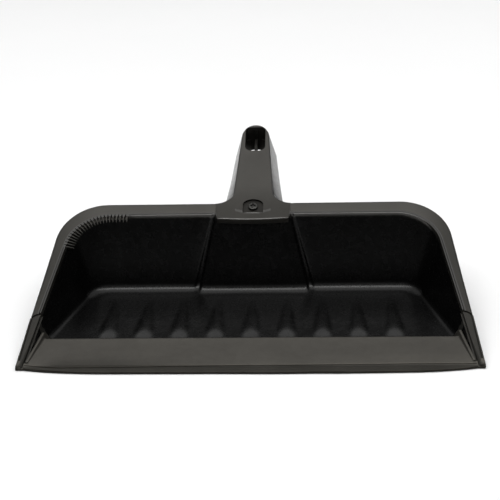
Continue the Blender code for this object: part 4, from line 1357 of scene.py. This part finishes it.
def lip_materials():
    """The satin ramp, whose blade is duller at its front, and the arms."""
    ramp_colours = ((0.009, 0.0085, 0.0070), (0.017, 0.0160, 0.0135))
    arm_colours = ((0.008, 0.0078, 0.0066), (0.015, 0.0145, 0.0126))
    return [
        plastic(
            "lip_soft", ramp_colours, WORN_RUBBER, 0.46, (0.36, 0.48), (0.08, 0.05, 0.05),
            (1.0, 0.94, 0.83, 1.0), ("Y", FRONT_Y + 0.0006, FRONT_Y + 0.0022, 0.17, 0.48),
        ),
        plastic("arm_soft", arm_colours, WORN_RUBBER, 0.22, (0.34, 0.48), (0.10, 0.06, 0.04)),
    ]


def handle_materials(edge):
    """Satin top, matt inside painted darker as shade, polished nose and step, and the grip's smooth sides."""
    # The inside colour is the top's plastic at half its brightness: painted shade for the hollow, rib,
    # recess, slot and nose's lower face.
    painted_shade_colours = ((0.004, 0.0038, 0.0033), (0.008, 0.0076, 0.0066))
    return [
        plastic(
            "grip_satin", CHARCOAL, WORN_CHARCOAL, 0.45, (0.32, 0.44), (0.10, 0.05, 0.04),
            fade=("Y", 0.019, 0.046, 0.27, 0.44),
        ),
        plastic("grip_inside_painted_shade", painted_shade_colours, (0.03, 0.029, 0.026), 0.16, (0.35, 0.50), (0.10, 0.08, 0.04)),
        edge,
        plastic(
            "grip_side", POLISHED, WORN_POLISHED, 0.38, (0.16, 0.26), (0.04, 0.02, 0.01),
            (1.0, 0.99, 0.97, 1.0),
        ),
    ]


# ---- camera, lights and floor

def make_camera():
    data = bpy.data.cameras.new("camera")
    data.lens = CAMERA_LENS_MM
    data.sensor_width = 36.0
    data.clip_start = 0.01
    camera = bpy.data.objects.new("camera", data)
    turn = Matrix.Rotation(CAMERA_AZIMUTH, 4, "Z") @ Matrix.Rotation(math.pi / 2 - CAMERA_ELEVATION, 4, "X")
    back_off = Matrix.Rotation(CAMERA_ROLL, 4, "Z") @ Matrix.Translation((0.0, 0.0, CAMERA_DISTANCE))
    camera.matrix_world = Matrix.Translation(CAMERA_TARGET) @ turn @ back_off
    bpy.context.scene.collection.objects.link(camera)
    bpy.context.scene.camera = camera


def area_light(name, place, aim, size, radiance):
    """A rectangular softbox whose face has the given brightness."""
    data = bpy.data.lights.new(name, "AREA")
    data.shape = "RECTANGLE"
    data.size, data.size_y = size
    data.energy = radiance * math.pi * size[0] * size[1]
    light = bpy.data.objects.new(name, data)
    light.location = place
    light.rotation_euler = (Vector(aim) - Vector(place)).to_track_quat("-Z", "Y").to_euler()
    bpy.context.scene.collection.objects.link(light)


def make_stage():
    """The floor, a faint even glow and the softboxes: overhead, two along the front and one at each side."""
    mesh = bpy.data.meshes.new("floor")
    corners = [(-FLOOR_HALF, -FLOOR_HALF, 0), (FLOOR_HALF, -FLOOR_HALF, 0)]
    corners += [(FLOOR_HALF, FLOOR_HALF, 0), (-FLOOR_HALF, FLOOR_HALF, 0)]
    mesh.from_pydata(corners, [], [(0, 1, 2, 3)])
    mesh.materials.append(pale_floor())
    floor = bpy.data.objects.new("floor", mesh)
    floor.location.z = -FLOOR_DROP
    bpy.context.scene.collection.objects.link(floor)
    world = bpy.data.worlds.new("studio")
    world.use_nodes = True
    background = world.node_tree.nodes["Background"]
    background.inputs["Color"].default_value = (1.0, 1.0, 1.0, 1.0)
    background.inputs["Strength"].default_value = WORLD_STRENGTH
    bpy.context.scene.world = world
    area_light("overhead", (0.0, 0.60, 1.6), (0.0, 0.60, 0.0), (3.4, 2.4), 1.60)
    area_light("front_strip", (0.0, -0.46, 1.5), (0.0, 0.0, 0.0), (2.2, 0.26), 8.5)
    area_light("front_fill", (0.0, -1.4, 1.5), (0.0, -0.4, 0.0), (2.4, 0.4), 0.5)
    for name, x in (("side_left", -1.5), ("side_right", 1.5)):
        area_light(name, (x, 0.45, 0.62), (0.0, 0.0, 0.05), (0.5, 0.6), 2.2)


make_camera()
make_stage()
bpy.context.scene.view_settings.view_transform = "Standard"
polished_edge = plastic(
    "edge_polish", POLISHED, WORN_POLISHED, 0.55, (0.12, 0.22), (0.04, 0.02, 0.01), (1.0, 0.98, 0.95, 1.0)
)
make_pan(pan_materials(polished_edge))
make_lip(lip_materials())
make_handle(handle_materials(polished_edge))
make_screw([dark_steel()])
